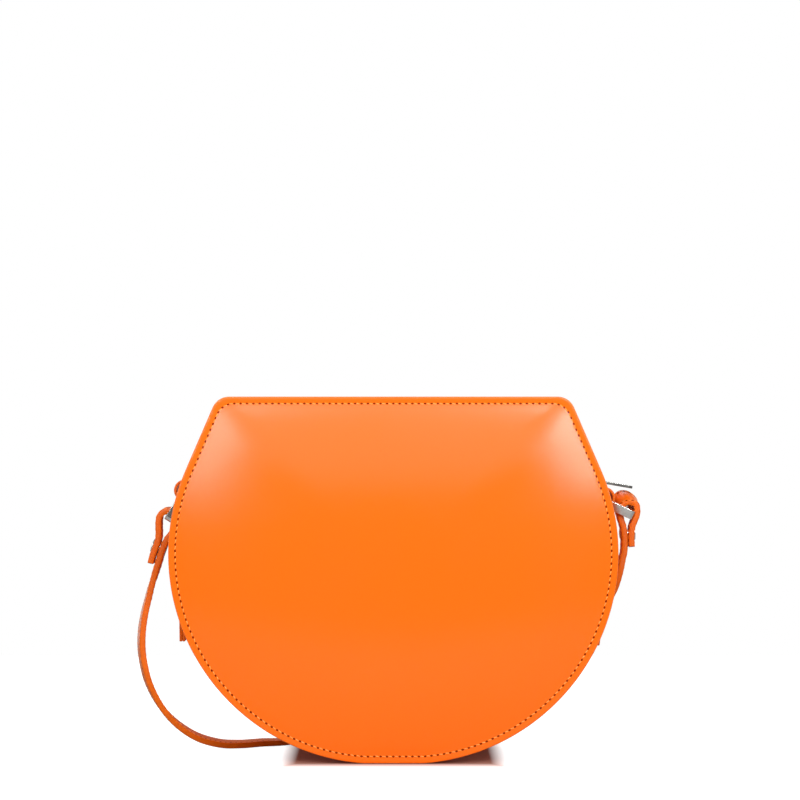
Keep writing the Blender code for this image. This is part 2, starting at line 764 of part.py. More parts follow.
def strap_route():
    """Whole route of the strap from its left end to its right end, in metres with its turn."""
    bar = ring_bar_centre("left")
    route = fitted(LEFT_OUTER_LEG, "left", bar) + loop_round(bar, 190, -20, 6)
    route += fitted(LEFT_INNER_LEG, "left", bar) + fitted(LEFT_DROP, "left", bar, 1, 0)
    route += LEFT_TWIST + coil_strand(-90, 1) + coil_middle() + coil_strand(90, -1) + RIGHT_TWIST
    bar = ring_bar_centre("right")
    route += fitted(RIGHT_DROP, "right", bar, 0, 1) + fitted(RIGHT_INNER_LEG, "right", bar)
    route += loop_round(bar, 195, -10, 6) + fitted(RIGHT_OUTER_LEG, "right", bar)
    points = []
    for x, y, z, turn in route:
        height = resting_height(turn) if z is None else z
        points.append((Vector((x, y, height)) / 1000, turn))
    return points


def strap_frames():
    """Centre, width direction and face direction at each point of the strap."""
    route = strap_route()
    frames = []
    for i, (point, turn) in enumerate(route):
        before = route[max(i - 1, 0)][0]
        after = route[min(i + 1, len(route) - 1)][0]
        along = (after - before).normalized()
        across = Vector((0, 1 - turn, turn))
        across = (across - along * across.dot(along)).normalized()
        frames.append((point, across, along.cross(across)))
    return frames


def make_strap(materials, group, cutters):
    """One flat leather strap, from ring to ring, its spare length coiled behind the bag."""
    bm = bmesh.new()
    rows = []
    for point, across, face in strap_frames():
        half = across * STRAP_WIDTH / 2
        over = point + face * STRAP_THICKNESS / 2
        under = point - face * STRAP_THICKNESS / 2
        rows.append([over + half, over - half, under - half, under + half])
    grid = skin(bm, rows, closed=True)
    bm.faces.new(grid[0])
    bm.faces.new(reversed(grid[-1]))
    strap = add_mesh("shoulder_strap", bm, materials["leather"], group)
    for place in STUDS:
        hole = bmesh.new()
        centre, outward, spacing = stud_frame(place)
        turn = outward.to_track_quat("Z", "Y").to_matrix().to_4x4()
        radius = STUD_RADIUS + GAP
        bmesh.ops.create_cone(
            hole,
            cap_ends=True,
            segments=STUD_STEPS,
            radius1=radius,
            radius2=radius,
            depth=spacing + 2 * STRAP_THICKNESS,
            matrix=Matrix.Translation(centre) @ turn,
        )
        cutter = add_mesh("hole_" + place, hole, materials["metal"], group)
        boolean(strap, cutter, "DIFFERENCE", cutters)


def stud_frame(place):
    """Centre, outward direction and leg spacing of a stud."""
    (x, z), spacing, tilt = STUDS[place]
    centre = ring_bar_centre(place) + Vector((x, 0, z))
    return centre, Vector((math.cos(tilt), 0, math.sin(tilt))), spacing


def turned(name, profile, placement, material, group):
    """Solid turned about its local Z from a profile listed from the top of its axis to the foot."""
    mesh = bpy.data.meshes.new(name)
    edges = [(i, i + 1) for i in range(len(profile) - 1)]
    mesh.from_pydata([(radius, 0, height) for radius, height in profile], edges, [])
    mesh.materials.append(material)
    item = bpy.data.objects.new(name, mesh)
    group.objects.link(item)
    item.matrix_world = placement
    screw = item.modifiers.new("Turn", "SCREW")
    screw.steps = STUD_STEPS
    screw.render_steps = STUD_STEPS
    screw.use_merge_vertices = True
    screw.merge_threshold = 0.00001
    return item


def make_stud(place, materials, group):
    """Screw stud through both legs of a strap end: a domed head with its shaft, and a cap."""
    centre, outward, spacing = stud_frame(place)
    face = spacing / 2 + STRAP_THICKNESS / 2 + STUD_SEAT
    turn = outward.to_track_quat("Z", "Y").to_matrix().to_4x4()
    placement = Matrix.Translation(centre) @ turn
    profile = [
        (0, face + STUD_HEAD),
        (STUD_HEAD_RADIUS * 0.6, face + STUD_HEAD * 0.85),
        (STUD_HEAD_RADIUS, face + STUD_HEAD * 0.4),
        (STUD_HEAD_RADIUS, face),
        (STUD_RADIUS, face),
        (STUD_RADIUS, GAP - face),
        (0, GAP - face),
    ]
    turned("strap_stud_" + place, profile, placement, materials["metal"], group)
    profile = [
        (0, -face),
        (STUD_HEAD_RADIUS, -face),
        (STUD_HEAD_RADIUS, -face - STUD_HEAD * 0.6),
        (STUD_HEAD_RADIUS * 0.8, -face - STUD_HEAD),
        (0, -face - STUD_HEAD),
    ]
    turned("strap_stud_cap_" + place, profile, placement, materials["metal"], group)


def main():
    clear_scene()
    group = new_collection("half_moon_bag")
    cutters = new_collection("cutters")
    materials = {
        "leather": make_material("orange_leather", (0.95, 0.20, 0.02), 0.35),
        "board": make_material("stiffening_board", (0.45, 0.33, 0.22), 0.9),
        "lining": make_material("lining_cloth", (0.60, 0.52, 0.42), 0.9),
        "tape": make_material("zip_tape", (0.80, 0.18, 0.03), 0.8),
        "metal": make_material("nickel", (0.80, 0.78, 0.74), 0.2, 1.0),
    }
    for side, place in ((-1, "front"), (1, "back")):
        make_panels(side, place, materials, group)
        make_zip_panel(side, place, materials, group)
        make_zip_teeth(side, place, materials, group)
    make_gusset(materials, group)
    make_slip_pocket(materials, group)
    make_zip_stop("zip_top_stop", STOP_LENGTH / 2, materials, group)
    make_zip_stop("zip_bottom_stop", zip_length() - STOP_LENGTH / 2, materials, group)
    make_slider(materials, group, cutters)
    make_pull(materials, group)
    make_tab(-1, "left", LEFT_PIVOT_HEIGHT, LEFT_TAB_FOOT, materials, group)
    make_tab(1, "right", RIGHT_PIVOT_HEIGHT, RIGHT_TAB_FOOT, materials, group)
    make_ring(-1, "left", LEFT_PIVOT_HEIGHT, LEFT_RING_REST, materials, group)
    make_ring(1, "right", RIGHT_PIVOT_HEIGHT, RIGHT_RING_REST, materials, group)
    make_strap(materials, group, cutters)
    make_stud("left", materials, group)
    make_stud("right", materials, group)


main()
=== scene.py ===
"""Half moon shoulder bag in smooth orange leather, dressed for its portrait."""

import math

import bmesh
import bpy
from mathutils import Matrix, Vector


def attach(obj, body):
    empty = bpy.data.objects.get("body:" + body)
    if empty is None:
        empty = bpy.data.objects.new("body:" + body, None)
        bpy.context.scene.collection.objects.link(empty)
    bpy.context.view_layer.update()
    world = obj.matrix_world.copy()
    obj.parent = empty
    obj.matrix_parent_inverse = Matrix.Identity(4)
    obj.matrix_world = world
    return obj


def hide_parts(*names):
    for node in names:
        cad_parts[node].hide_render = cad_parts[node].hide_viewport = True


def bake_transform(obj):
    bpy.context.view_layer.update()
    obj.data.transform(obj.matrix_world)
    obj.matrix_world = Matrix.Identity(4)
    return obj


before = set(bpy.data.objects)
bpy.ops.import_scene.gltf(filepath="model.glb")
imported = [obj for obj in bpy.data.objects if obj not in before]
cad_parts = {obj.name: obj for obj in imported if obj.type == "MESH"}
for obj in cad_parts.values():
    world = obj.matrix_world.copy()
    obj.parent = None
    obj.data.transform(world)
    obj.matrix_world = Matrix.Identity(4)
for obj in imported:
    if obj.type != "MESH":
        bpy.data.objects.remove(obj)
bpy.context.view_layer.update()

# Camera. It looks level at the bag from 1.4 m, at the height of the bag's top edge, with a long
# lens, so that the sides and the top hardly show.
CAMERA_PLACE = (0.0031, -1.4375, 0.1694)
CAMERA_LENS = 135.2
CAMERA_SENSOR = 36
CAMERA_CLIP = 0.05
bpy.ops.object.camera_add(location=CAMERA_PLACE, rotation=(math.radians(90), 0, 0))
camera = bpy.context.object
camera.name = "portrait_camera"
camera.data.lens = CAMERA_LENS
camera.data.sensor_width = CAMERA_SENSOR
camera.data.clip_start = CAMERA_CLIP
bpy.context.scene.camera = camera


# Shoulder strap. One flat strap of doubled calf leather, 12 mm wide and 2.8 mm thick, sewn along
# both edges and painted on its sides. It is folded round each ring and screwed together with a
# stud; what the picture doesn't show lies wound on its edge behind the bag.
STRAP_WIDTH = 0.012
STRAP_THICKNESS = 0.0028
STRAP_EDGE_ROUND = 0.0006
STRAP_CUT_EASE = 0.0003
# The route: (x, y, z, turn from lying flat to standing on edge, sway of the strap's edges in x).
# The left fold gives just x, z and the turn, and the coil just x and y.
LEFT_FOLD = [
    (-0.11594, 0.09144, 0), (-0.11513, 0.09464, 0), (-0.11408, 0.09755, 0), (-0.11303, 0.10023, 0),
    (-0.11226, 0.103, 0), (-0.11203, 0.10587, 0), (-0.11212, 0.10859, 0), (-0.11207, 0.11131, 0.02),
    (-0.11169, 0.11389, 0.04), (-0.11045, 0.1155, 0.03), (-0.10878, 0.1164, 0.03),
    (-0.10706, 0.11655, 0.03), (-0.10524, 0.11585, 0.02), (-0.1039, 0.1145, 0),
    (-0.10314, 0.11279, 0.04), (-0.10333, 0.1104, 0), (-0.10429, 0.10802, 0),
    (-0.10596, 0.10563, 0), (-0.10773, 0.10348, 0), (-0.10906, 0.10109, 0), (-0.11016, 0.09851, 0),
    (-0.11107, 0.09583, 0), (-0.11183, 0.09316, 0), (-0.11265, 0.09048, 0), (-0.11355, 0.08771, 0),
]
LEFT_LEG = [
    (-0.1148, 0, 0.08365, 0, -0.04), (-0.11604, 0, 0.07959, 0, -0.1), (-0.117, 0, 0.0758, 0, -0.12),
    (-0.119, 0, 0.0678, 0, -0.15), (-0.1204, 0, 0.0588, 0, -0.18), (-0.1205, 0, 0.0499, 0, -0.19),
    (-0.1192, 0, 0.0414, 0, -0.2), (-0.1172, 0.001, 0.0339, 0, -0.2),
    (-0.1136, 0.003, 0.0259, 0, -0.18), (-0.1086, 0.005, 0.0184, 0, -0.14),
    (-0.1018, 0.009, 0.0116, 0, -0.08), (-0.0938, 0.015, 0.0062, 0, -0.03),
    (-0.0845, 0.022, 0.0028, 0, 0), (-0.075, 0.0285, 0.0016, 0, 0), (-0.064, 0.035, 0.0016, 0, 0),
    (-0.053, 0.04, 0.0016, 0, 0), (-0.043, 0.0445, 0.0034, 0.25, 0),
    (-0.033, 0.0475, 0.0054, 0.5, 0), (-0.022, 0.0492, 0.0063, 0.75, 0),
    (-0.011, 0.05, 0.0062, 0.95, 0),
]
COIL_TURNS = [
    (0, 0.05), (0.0168, 0.0539), (0.031, 0.0631), (0.041, 0.0763), (0.0457, 0.0919),
    (0.0449, 0.1079), (0.0387, 0.1223), (0.0281, 0.1335), (0.0147, 0.1403), (0, 0.142),
    (-0.0141, 0.1386), (-0.0259, 0.1308), (-0.0341, 0.1197), (-0.0379, 0.1067), (-0.037, 0.0935),
    (-0.0318, 0.0817), (-0.023, 0.0726), (-0.0119, 0.0672), (0, 0.066), (0.0085, 0.0683),
    (0.0147, 0.0745), (0.017, 0.083), (0.0147, 0.0915), (0.0085, 0.0977),
]
COIL_MIDDLE = 0.1
COIL_END = [(0.015, 0.149), (0.03, 0.1435), (0.043, 0.1335), (0.052, 0.1195), (0.056, 0.103)]
RIGHT_LEG_AND_FOLD = [
    (0.0575, 0.087, 0.0063, 1, 0), (0.0585, 0.072, 0.0095, 1, 0), (0.0625, 0.06, 0.0155, 0.9, 0),
    (0.0705, 0.0515, 0.0235, 0.75, 0), (0.0815, 0.044, 0.0338, 0.6, 0),
    (0.0905, 0.0385, 0.0415, 0.5, 0), (0.0945, 0.0325, 0.0479, 0.4, 0),
    (0.0972, 0.0235, 0.0559, 0.3, 0), (0.0997, 0.014, 0.0644, 0.2, 0),
    (0.1016, 0.008, 0.0699, 0.1, 0), (0.1036, 0.004, 0.0748, 0, 0), (0.1062, 0.001, 0.0808, 0, 0),
    (0.1082, 0, 0.0878, 0, 0), (0.10939, 0, 0.09378, 0, 0), (0.11006, 0, 0.09655, 0, 0),
    (0.11025, 0, 0.09942, 0, 0), (0.1103, 0, 0.10252, 0, 0), (0.11015, 0, 0.10587, 0, 0),
    (0.10958, 0, 0.10921, 0, 0), (0.10862, 0, 0.11231, 0, 0), (0.10796, 0, 0.11542, 0.04, -0.04),
    (0.108, 0, 0.11838, 0.14, -0.12), (0.10891, 0, 0.12085, 0.28, -0.26),
    (0.11058, 0, 0.12218, 0.34, -0.3), (0.11249, 0, 0.1223, 0.34, -0.26),
    (0.11436, 0, 0.12145, 0.3, -0.18), (0.11569, 0, 0.12001, 0.22, -0.08),
    (0.11627, 0, 0.11767, 0.12, 0), (0.11612, 0, 0.11513, 0.04, 0), (0.11525, 0, 0.11236, 0, 0),
    (0.11415, 0, 0.10969, 0, 0), (0.11364, 0, 0.10682, 0, 0), (0.11345, 0, 0.10396, 0, 0),
    (0.11354, 0, 0.10157, 0, 0), (0.11369, 0, 0.09937, 0, 0),
]
COIL_HEIGHT = 0.0061
coil_back = [(-x, 2 * COIL_MIDDLE - y) for x, y in COIL_TURNS[::-1]]
coil = COIL_TURNS + [(0, COIL_MIDDLE)] + coil_back + COIL_END
STRAP_ROUTE = [(x, 0, z, turn, 0) for x, z, turn in LEFT_FOLD] + LEFT_LEG
STRAP_ROUTE += [(x, y, COIL_HEIGHT, 1, 0) for x, y in coil] + RIGHT_LEG_AND_FOLD
LEFT_SPLIT = 40
RIGHT_SPLIT = 99
STRAP_ROWS_PER_STEP = 12
STITCH_PITCH = 0.003
STRAP_SEAM = 0.0016


def eased_line(points, steps):
    """Catmull-Rom line through the points, with a number of steps from each to the next."""
    line = []
    padded = [points[0]] + points + [points[-1]]
    for i in range(1, len(padded) - 2):
        a, b, c, d = padded[i - 1 : i + 3]
        for step in range(steps):
            t = step / steps
            bend = (2 * a - 5 * b + 4 * c - d) * t * t + (3 * b - a - 3 * c + d) * t * t * t
            line.append((2 * b + (c - a) * t + bend) / 2)
    return line + [points[-1]]


def strap_frames(rows):
    """Centre, direction across the strap and direction out of its face, row by row."""
    frames = []
    for i, row in enumerate(rows):
        before = rows[max(i - 1, 0)].to_3d()
        after = rows[min(i + 1, len(rows) - 1)].to_3d()
        along = (after - before).normalized()
        across = Vector((0, 1 - row[3], row[3]))
        across = (across - along * across.dot(along)).normalized()
        out = along.cross(across)
        frames.append((row.to_3d(), across + Vector((row[4], 0, 0)), out))
    return frames


def strap_section():
    """Rounded outline of the strap's cut end: (across, out) round its four corners."""
    section = []
    inner_half = STRAP_WIDTH / 2 - STRAP_EDGE_ROUND
    inner_thick = STRAP_THICKNESS / 2 - STRAP_EDGE_ROUND
    for corner, (across, out) in enumerate(((1, 1), (-1, 1), (-1, -1), (1, -1))):
        for step in range(4):
            turn = math.radians(corner * 90 + step * 30)
            u = across * inner_half + STRAP_EDGE_ROUND * math.cos(turn)
            section.append((u, out * inner_thick + STRAP_EDGE_ROUND * math.sin(turn)))
    return section


def linked(name, mesh):
    """Piece made of a mesh, put in the scene."""
    piece = bpy.data.objects.new(name, mesh)
    bpy.context.collection.objects.link(piece)
    return piece


def strap_piece(name, frames, materials, first_end, last_end):
    """Length of strap; a cut end is eased, and one that goes on in another piece stays sharp."""
    section = strap_section()
    count = len(section)
    bm = bmesh.new()
    rows = []
    for centre, across, out in frames:
        rows.append([bm.verts.new(centre + across * u + out * v) for u, v in section])
    for near, far in zip(rows, rows[1:]):
        for k in range(count):
            face = bm.faces.new((near[k], near[(k + 1) % count], far[(k + 1) % count], far[k]))
            u = section[k][0] + section[(k + 1) % count][0]
            face.material_index = 1 if abs(u) > STRAP_WIDTH - STRAP_EDGE_ROUND else 0
            face.smooth = True
    for row, cut in ((rows[0][::-1], first_end), (rows[-1], last_end)):
        cap = bm.faces.new(row)
        cap.material_index = 1
        if cut:
            ease = {"offset": STRAP_CUT_EASE, "segments": 2, "affect": "EDGES", "profile": 0.5}
            bmesh.ops.bevel(bm, geom=list(cap.edges), **ease)
    bmesh.ops.recalc_face_normals(bm, faces=bm.faces)
    mesh = bpy.data.meshes.new(name)
    bm.to_mesh(mesh)
    bm.free()
    for material in materials:
        mesh.materials.append(material)
    return linked(name, mesh)


def select_only(piece):
    bpy.ops.object.select_all(action="DESELECT")
    piece.select_set(True)
    bpy.context.view_layer.objects.active = piece


def edit_all(piece):
    """Enter edit mode on a piece, with all of it selected."""
    select_only(piece)
    bpy.ops.object.mode_set(mode="EDIT")
    bpy.ops.mesh.select_all(action="SELECT")


def choose(test):
    """In edit mode, select just the vertices whose place passes the test."""
    mesh = bmesh.from_edit_mesh(bpy.context.object.data)
    bpy.ops.mesh.select_all(action="DESELECT")
    for vertex in mesh.verts:
        vertex.select = test(vertex.co)
    mesh.select_flush(True)
    bmesh.update_edit_mesh(bpy.context.object.data)


def sewing_stitch(name, length, width, height):
    """One stitch of twisted thread along X, humped over the leather and diving at both ends."""
    on_side = (0, math.radians(90), 0)
    bpy.ops.mesh.primitive_cylinder_add(vertices=7, radius=0.5, depth=1, rotation=on_side)
    stitch = bpy.context.object
    stitch.name = name
    bpy.ops.object.transform_apply(location=True, rotation=True, scale=True)
    bpy.ops.object.mode_set(mode="EDIT")
    for cut in (-0.4, -0.22, 0.0, 0.22, 0.4):
        bpy.ops.mesh.select_all(action="SELECT")
        bpy.ops.mesh.bisect(plane_co=(cut, 0, 0), plane_no=(1, 0, 0))
    for end in (-1, 1):
        choose(lambda co: co.x * end > 0.45)
        bpy.ops.transform.resize(value=(1, 0.45, 0.45), center_override=(0, 0, 0))
        bpy.ops.transform.translate(value=(0, 0, -0.75))
        choose(lambda co: 0.35 < co.x * end < 0.45)
        bpy.ops.transform.resize(value=(1, 0.8, 0.8), center_override=(0, 0, 0))
        bpy.ops.transform.translate(value=(0, 0, -0.35))
    bpy.ops.mesh.select_all(action="SELECT")
    bpy.ops.transform.resize(value=(length, width, height), center_override=(0, 0, 0))
    bpy.ops.mesh.normals_make_consistent(inside=False)
    bpy.ops.object.mode_set(mode="OBJECT")
    bpy.ops.object.shade_smooth()
    return stitch


def needle_hole_shadow(name, length, width):
    """Dark disc of painted shadow inside a needle hole, a shallow lens whose rim runs into the
    leather.
    """
    bpy.ops.mesh.primitive_cylinder_add(vertices=10, radius=0.5, depth=0.00006)
    hole = bpy.context.object
    hole.name = name
    bpy.ops.object.transform_apply(location=True, rotation=True, scale=True)
    bpy.ops.object.mode_set(mode="EDIT")
    choose(lambda co: co.z > 0)
    bpy.ops.transform.resize(value=(0.8, 0.8, 1), center_override=(0, 0, 0))
    bpy.ops.mesh.select_all(action="SELECT")
    bpy.ops.transform.resize(value=(length, width, 1), center_override=(0, 0, 0))
    bpy.ops.object.mode_set(mode="OBJECT")
    return hole


def copied(name, models, places, materials):
    """Copies of small models at each place, joined in one mesh; a model keeps its own material."""
    points, faces, slots = [], [], []
    for matrix, model_number in places:
        mesh = models[model_number].data
        base = len(points)
        points += [tuple(matrix @ vertex.co) for vertex in mesh.vertices]
        faces += [tuple(base + index for index in face.vertices) for face in mesh.polygons]
        slots += [model_number] * len(mesh.polygons)
    mesh = bpy.data.meshes.new(name)
    mesh.from_pydata(points, [], faces)
    mesh.polygons.foreach_set("material_index", slots)
    mesh.polygons.foreach_set("use_smooth", [True] * len(faces))
    for material in materials:
        mesh.materials.append(material)
    return linked(name, mesh)


def walked(points, pitch, start):
    """Places every pitch along a line of points: (segment, share of it)."""
    places = []
    distance = start
    travelled = 0.0
    for i, (near, far) in enumerate(zip(points, points[1:])):
        step = (far - near).length
        while distance <= travelled + step:
            places.append((i, (distance - travelled) / step))
            distance += pitch
        travelled += step
    return places


def axes(x_axis, y_axis, z_axis, origin):
    matrix = Matrix((x_axis, y_axis, z_axis)).transposed().to_4x4()
    matrix.translation = origin
    return matrix


def sewn(line, pitch, first, lay, count=None):
    """Places of a row of needle holes and the threads between them; lay gives each one's axes."""
    places = []
    for start, model in ((first + pitch / 2, 0), (first, 1)):
        for i, share in walked(line, pitch, start)[:count]:
            along = (line[i + 1] - line[i]).normalized()
            point = line[i].lerp(line[i + 1], share)
            places.append((axes(*lay(i, share, along), point), model))
    return places


def strap_stitches(frames):
    """Places of the threads and needle holes along both edges, on both faces of the strap."""
    places = []
    for side in (-1, 1):
        for face in (-1, 1):
            line = []
            for centre, across, out in frames:
                beside = across * (STRAP_WIDTH / 2 - STRAP_SEAM) * side
                line.append(centre + beside + out * face * STRAP_THICKNESS / 2)

            def lay(i, share, along):
                normal = frames[i][2].lerp(frames[i + 1][2], share).normalized() * face
                cross = normal.cross(along).normalized()
                return along, cross, along.cross(cross)

            places += sewn(line, STITCH_PITCH, STITCH_PITCH, lay)
    return places


def fit(piece, body, node=None):
    """Put a finished piece on its body, in place of a CAD node if one is given."""
    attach(piece, body)
    if node:
        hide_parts(node)


def new_group(name, inputs, outputs):
    """Empty shader node group with its sockets; returns it with its two end nodes."""
    group = bpy.data.node_groups.new(name, "ShaderNodeTree")
    for label, kind, value in inputs:
        socket = group.interface.new_socket(label, in_out="INPUT", socket_type=kind)
        socket.default_value = value
    for label, kind in outputs:
        group.interface.new_socket(label, in_out="OUTPUT", socket_type=kind)
    return group, group.nodes.new("NodeGroupInput"), group.nodes.new("NodeGroupOutput")


def feed(tree, sockets, values):
    """Link each socket to the output given for it, or set it to the plain value."""
    for socket, value in zip(sockets, values):
        if isinstance(value, bpy.types.NodeSocket):
            tree.links.new(value, socket)
        else:
            socket.default_value = value


def math_node(tree, operation, first, second, clamp=False):
    """Math node fed by sockets or numbers; returns its result."""
    node = tree.nodes.new("ShaderNodeMath")
    node.operation = operation
    node.use_clamp = clamp
    feed(tree, node.inputs, (first, second))
    return node.outputs[0]


def mix_colour(tree, factor, first, second):
    """Colour mix fed by sockets or values; returns its result."""
    node = tree.nodes.new("ShaderNodeMix")
    node.data_type = "RGBA"
    feed(tree, (node.inputs[0], node.inputs[6], node.inputs[7]), (factor, first, second))
    return node.outputs[2]


def noise(tree, vector, scale, detail=3.0, roughness=0.5):
    node = tree.nodes.new("ShaderNodeTexNoise")
    node.inputs["Scale"].default_value = scale
    node.inputs["Detail"].default_value = detail
    node.inputs["Roughness"].default_value = roughness
    tree.links.new(vector, node.inputs["Vector"])
    return node.outputs["Fac"]


def ranged(tree, value, low, high, to_low=0.0, to_high=1.0):
    """Value mapped from one range to another and kept inside it."""
    node = tree.nodes.new("ShaderNodeMapRange")
    tree.links.new(value, node.inputs["Value"])
    labels = ("From Min", "From Max", "To Min", "To Max")
    for label, number in zip(labels, (low, high, to_low, to_high)):
        node.inputs[label].default_value = number
    return node.outputs["Result"]


def grain_group():
    """Leather grain: pebbles between fine creases darkened by painted shade, pores and a cloudy
    dye.
    """
    group, start, end = new_group(
        "leather_grain",
        [
            ("Vector", "NodeSocketVector", (0, 0, 0)),
            ("Base", "NodeSocketColor", (0.9, 0.2, 0.02, 1)),
            ("Deep", "NodeSocketColor", (0.7, 0.1, 0.01, 1)),
            ("Grain Scale", "NodeSocketFloat", 900.0),
            ("Roughness", "NodeSocketFloat", 0.4),
        ],
        [
            ("Color", "NodeSocketColor"),
            ("Roughness", "NodeSocketFloat"),
            ("Height", "NodeSocketFloat"),
        ],
    )
    vector = start.outputs["Vector"]
    cells = group.nodes.new("ShaderNodeTexVoronoi")
    cells.feature = "DISTANCE_TO_EDGE"
    group.links.new(vector, cells.inputs["Vector"])
    group.links.new(start.outputs["Grain Scale"], cells.inputs["Scale"])
    pebble = ranged(group, cells.outputs["Distance"], 0.0, 0.22)
    fine = noise(group, vector, 2600.0, 4.0, 0.6)
    cloud = noise(group, vector, 22.0, 3.0, 0.5)
    swell = math_node(group, "MULTIPLY", pebble, 0.6)
    height = math_node(group, "ADD", swell, math_node(group, "MULTIPLY", fine, 0.4))
    # The creases between the pebbles are darker: painted shade; the cloud is the dye's own tone.
    crease = ranged(group, pebble, 0.0, 0.7, 0.22, 0.0)
    crease_shade_and_dye_cloud = math_node(group, "ADD", crease, ranged(group, cloud, 0.35, 0.65, 0.0, 0.10))
    colour = mix_colour(group, crease_shade_and_dye_cloud, start.outputs["Base"], start.outputs["Deep"])
    dull = math_node(group, "MULTIPLY", ranged(group, fine, 0.3, 0.7, -0.5, 0.5), 0.06)
    cloud_dull = math_node(group, "MULTIPLY", ranged(group, cloud, 0.3, 0.7, -0.5, 0.5), 0.04)
    duller = math_node(group, "ADD", dull, cloud_dull)
    rough = math_node(group, "ADD", start.outputs["Roughness"], duller)
    feed(group, end.inputs, (colour, rough, height))
    return group


def rubbed_group():
    """Mask of convex edges, where polish and handling pale the leather or metal."""
    group, start, end = new_group(
        "rubbed_edges",
        [("Sharpness", "NodeSocketFloat", 6.0), ("Amount", "NodeSocketFloat", 0.5)],
        [("Mask", "NodeSocketFloat")],
    )
    geometry = group.nodes.new("ShaderNodeNewGeometry")
    raised = math_node(group, "SUBTRACT", geometry.outputs["Pointiness"], 0.52)
    sharp = math_node(group, "MULTIPLY", raised, start.outputs["Sharpness"], clamp=True)
    mask = math_node(group, "MULTIPLY", sharp, start.outputs["Amount"], clamp=True)
    group.links.new(mask, end.inputs["Mask"])
    return group


GRAIN = grain_group()
RUBBED = rubbed_group()


def new_finish(name):
    """Material with its shader; returns also its node tree and the piece's own coordinates."""
    material = bpy.data.materials.new(name)
    material.use_nodes = True
    tree = material.node_tree
    place = tree.nodes.new("ShaderNodeTexCoord").outputs["Object"]
    return material, tree, tree.nodes["Principled BSDF"], place


def set_surface(tree, shader, colour, roughness, height, depth):
    """Link a finish's colour, roughness and relief of a depth in metres to its shader."""
    relief = tree.nodes.new("ShaderNodeBump")
    relief.inputs["Distance"].default_value = depth
    tree.links.new(height, relief.inputs["Height"])
    sockets = [shader.inputs[label] for label in ("Base Color", "Roughness", "Normal")]
    feed(tree, sockets, (colour, roughness, relief.outputs["Normal"]))


def placed_group(tree, group, values):
    """Node group placed in a material with its own values."""
    node = tree.nodes.new("ShaderNodeGroup")
    node.node_tree = group
    for label, value in values.items():
        feed(tree, (node.inputs[label],), (value,))
    return node.outputs


LEATHER_RUB = 0.45
LEATHER_GLOSS = 0.42
LEATHER_RELIEF = 0.000008
RUBBED_TONE = (1.0, 0.27, 0.03, 1)


def leather(name, base, deep, roughness, grain_scale=900.0):
    """Smooth calf, dyed through, with a fine closed grain, a soft polish and a cloudy dye."""
    material, tree, shader, place = new_finish(name)
    values = {"Vector": place, "Base": (*base, 1), "Deep": (*deep, 1)}
    values.update({"Grain Scale": grain_scale, "Roughness": roughness})
    grain = placed_group(tree, GRAIN, values)
    rubbed = placed_group(tree, RUBBED, {"Amount": LEATHER_RUB})
    colour = mix_colour(tree, rubbed["Mask"], grain["Color"], RUBBED_TONE)
    set_surface(tree, shader, colour, grain["Roughness"], grain["Height"], LEATHER_RELIEF)
    shader.inputs["Specular IOR Level"].default_value = LEATHER_GLOSS
    return material


STRAP_TONES = (0.90, 0.165, 0.0060), (0.78, 0.120, 0.0035)
STRAP_LEATHER = leather("orange_leather_strap", *STRAP_TONES, 0.34, grain_scale=1100.0)


def plain_finish(name, base, deep, roughness, scale, bump, metallic=0.0, gloss=0.5):
    """Finish with a soft mottle of two tones and a fine relief, for paint, thread and metal."""
    material, tree, shader, place = new_finish(name)
    mottle = noise(tree, place, scale, 4.0, 0.6)
    colour = mix_colour(tree, ranged(tree, mottle, 0.35, 0.65), (*base, 1), (*deep, 1))
    rough = math_node(tree, "ADD", roughness, ranged(tree, mottle, 0.3, 0.7, -0.06, 0.06))
    set_surface(tree, shader, colour, rough, mottle, bump)
    shader.inputs["Metallic"].default_value = metallic
    shader.inputs["Specular IOR Level"].default_value = gloss
    return material


FINE_RELIEF = 0.00002
PAINT_SCALE = 420
THREAD_TONES = (1.0, 0.38, 0.062), (0.98, 0.29, 0.032)
THREAD = plain_finish("orange_thread", *THREAD_TONES, 0.38, 3500, FINE_RELIEF)
# Needle holes are dark discs on the leather: painted shadow inside each hole.
HOLE_SHADOW_TONES = (0.16, 0.010, 0.0), (0.32, 0.030, 0.0)
NEEDLE_HOLE_SHADOW = plain_finish("needle_hole_shadow", *HOLE_SHADOW_TONES, 0.8, 2500, FINE_RELIEF, gloss=0.05)
STRAP_PAINT_TONES = (0.82, 0.142, 0.0036), (0.74, 0.124, 0.0030)
STRAP_EDGE_PAINT = plain_finish(
    "strap_edge_paint", *STRAP_PAINT_TONES, 0.34, PAINT_SCALE, FINE_RELIEF, gloss=0.25
)
STITCH = sewing_stitch("stitch_model", 0.0021, 0.0005, 0.00032)
HOLE = needle_hole_shadow("needle_hole_model", 0.00125, 0.00105)


def stitched(name, places):
    """All the threads and the painted shadows of the needle holes of a piece, in one mesh."""
    return copied(name, (STITCH, HOLE), places, (THREAD, NEEDLE_HOLE_SHADOW))


strap_rows = eased_line([Vector(stop) for stop in STRAP_ROUTE], STRAP_ROWS_PER_STEP)
all_frames = strap_frames(strap_rows)
left_row = LEFT_SPLIT * STRAP_ROWS_PER_STEP
right_row = RIGHT_SPLIT * STRAP_ROWS_PER_STEP
strap_lengths = {
    "strap_left_end": (all_frames[: left_row + 1], (True, False)),
    "strap_middle": (all_frames[left_row : right_row + 1], (False, False)),
    "strap_right_end": (all_frames[right_row:], (False, True)),
}
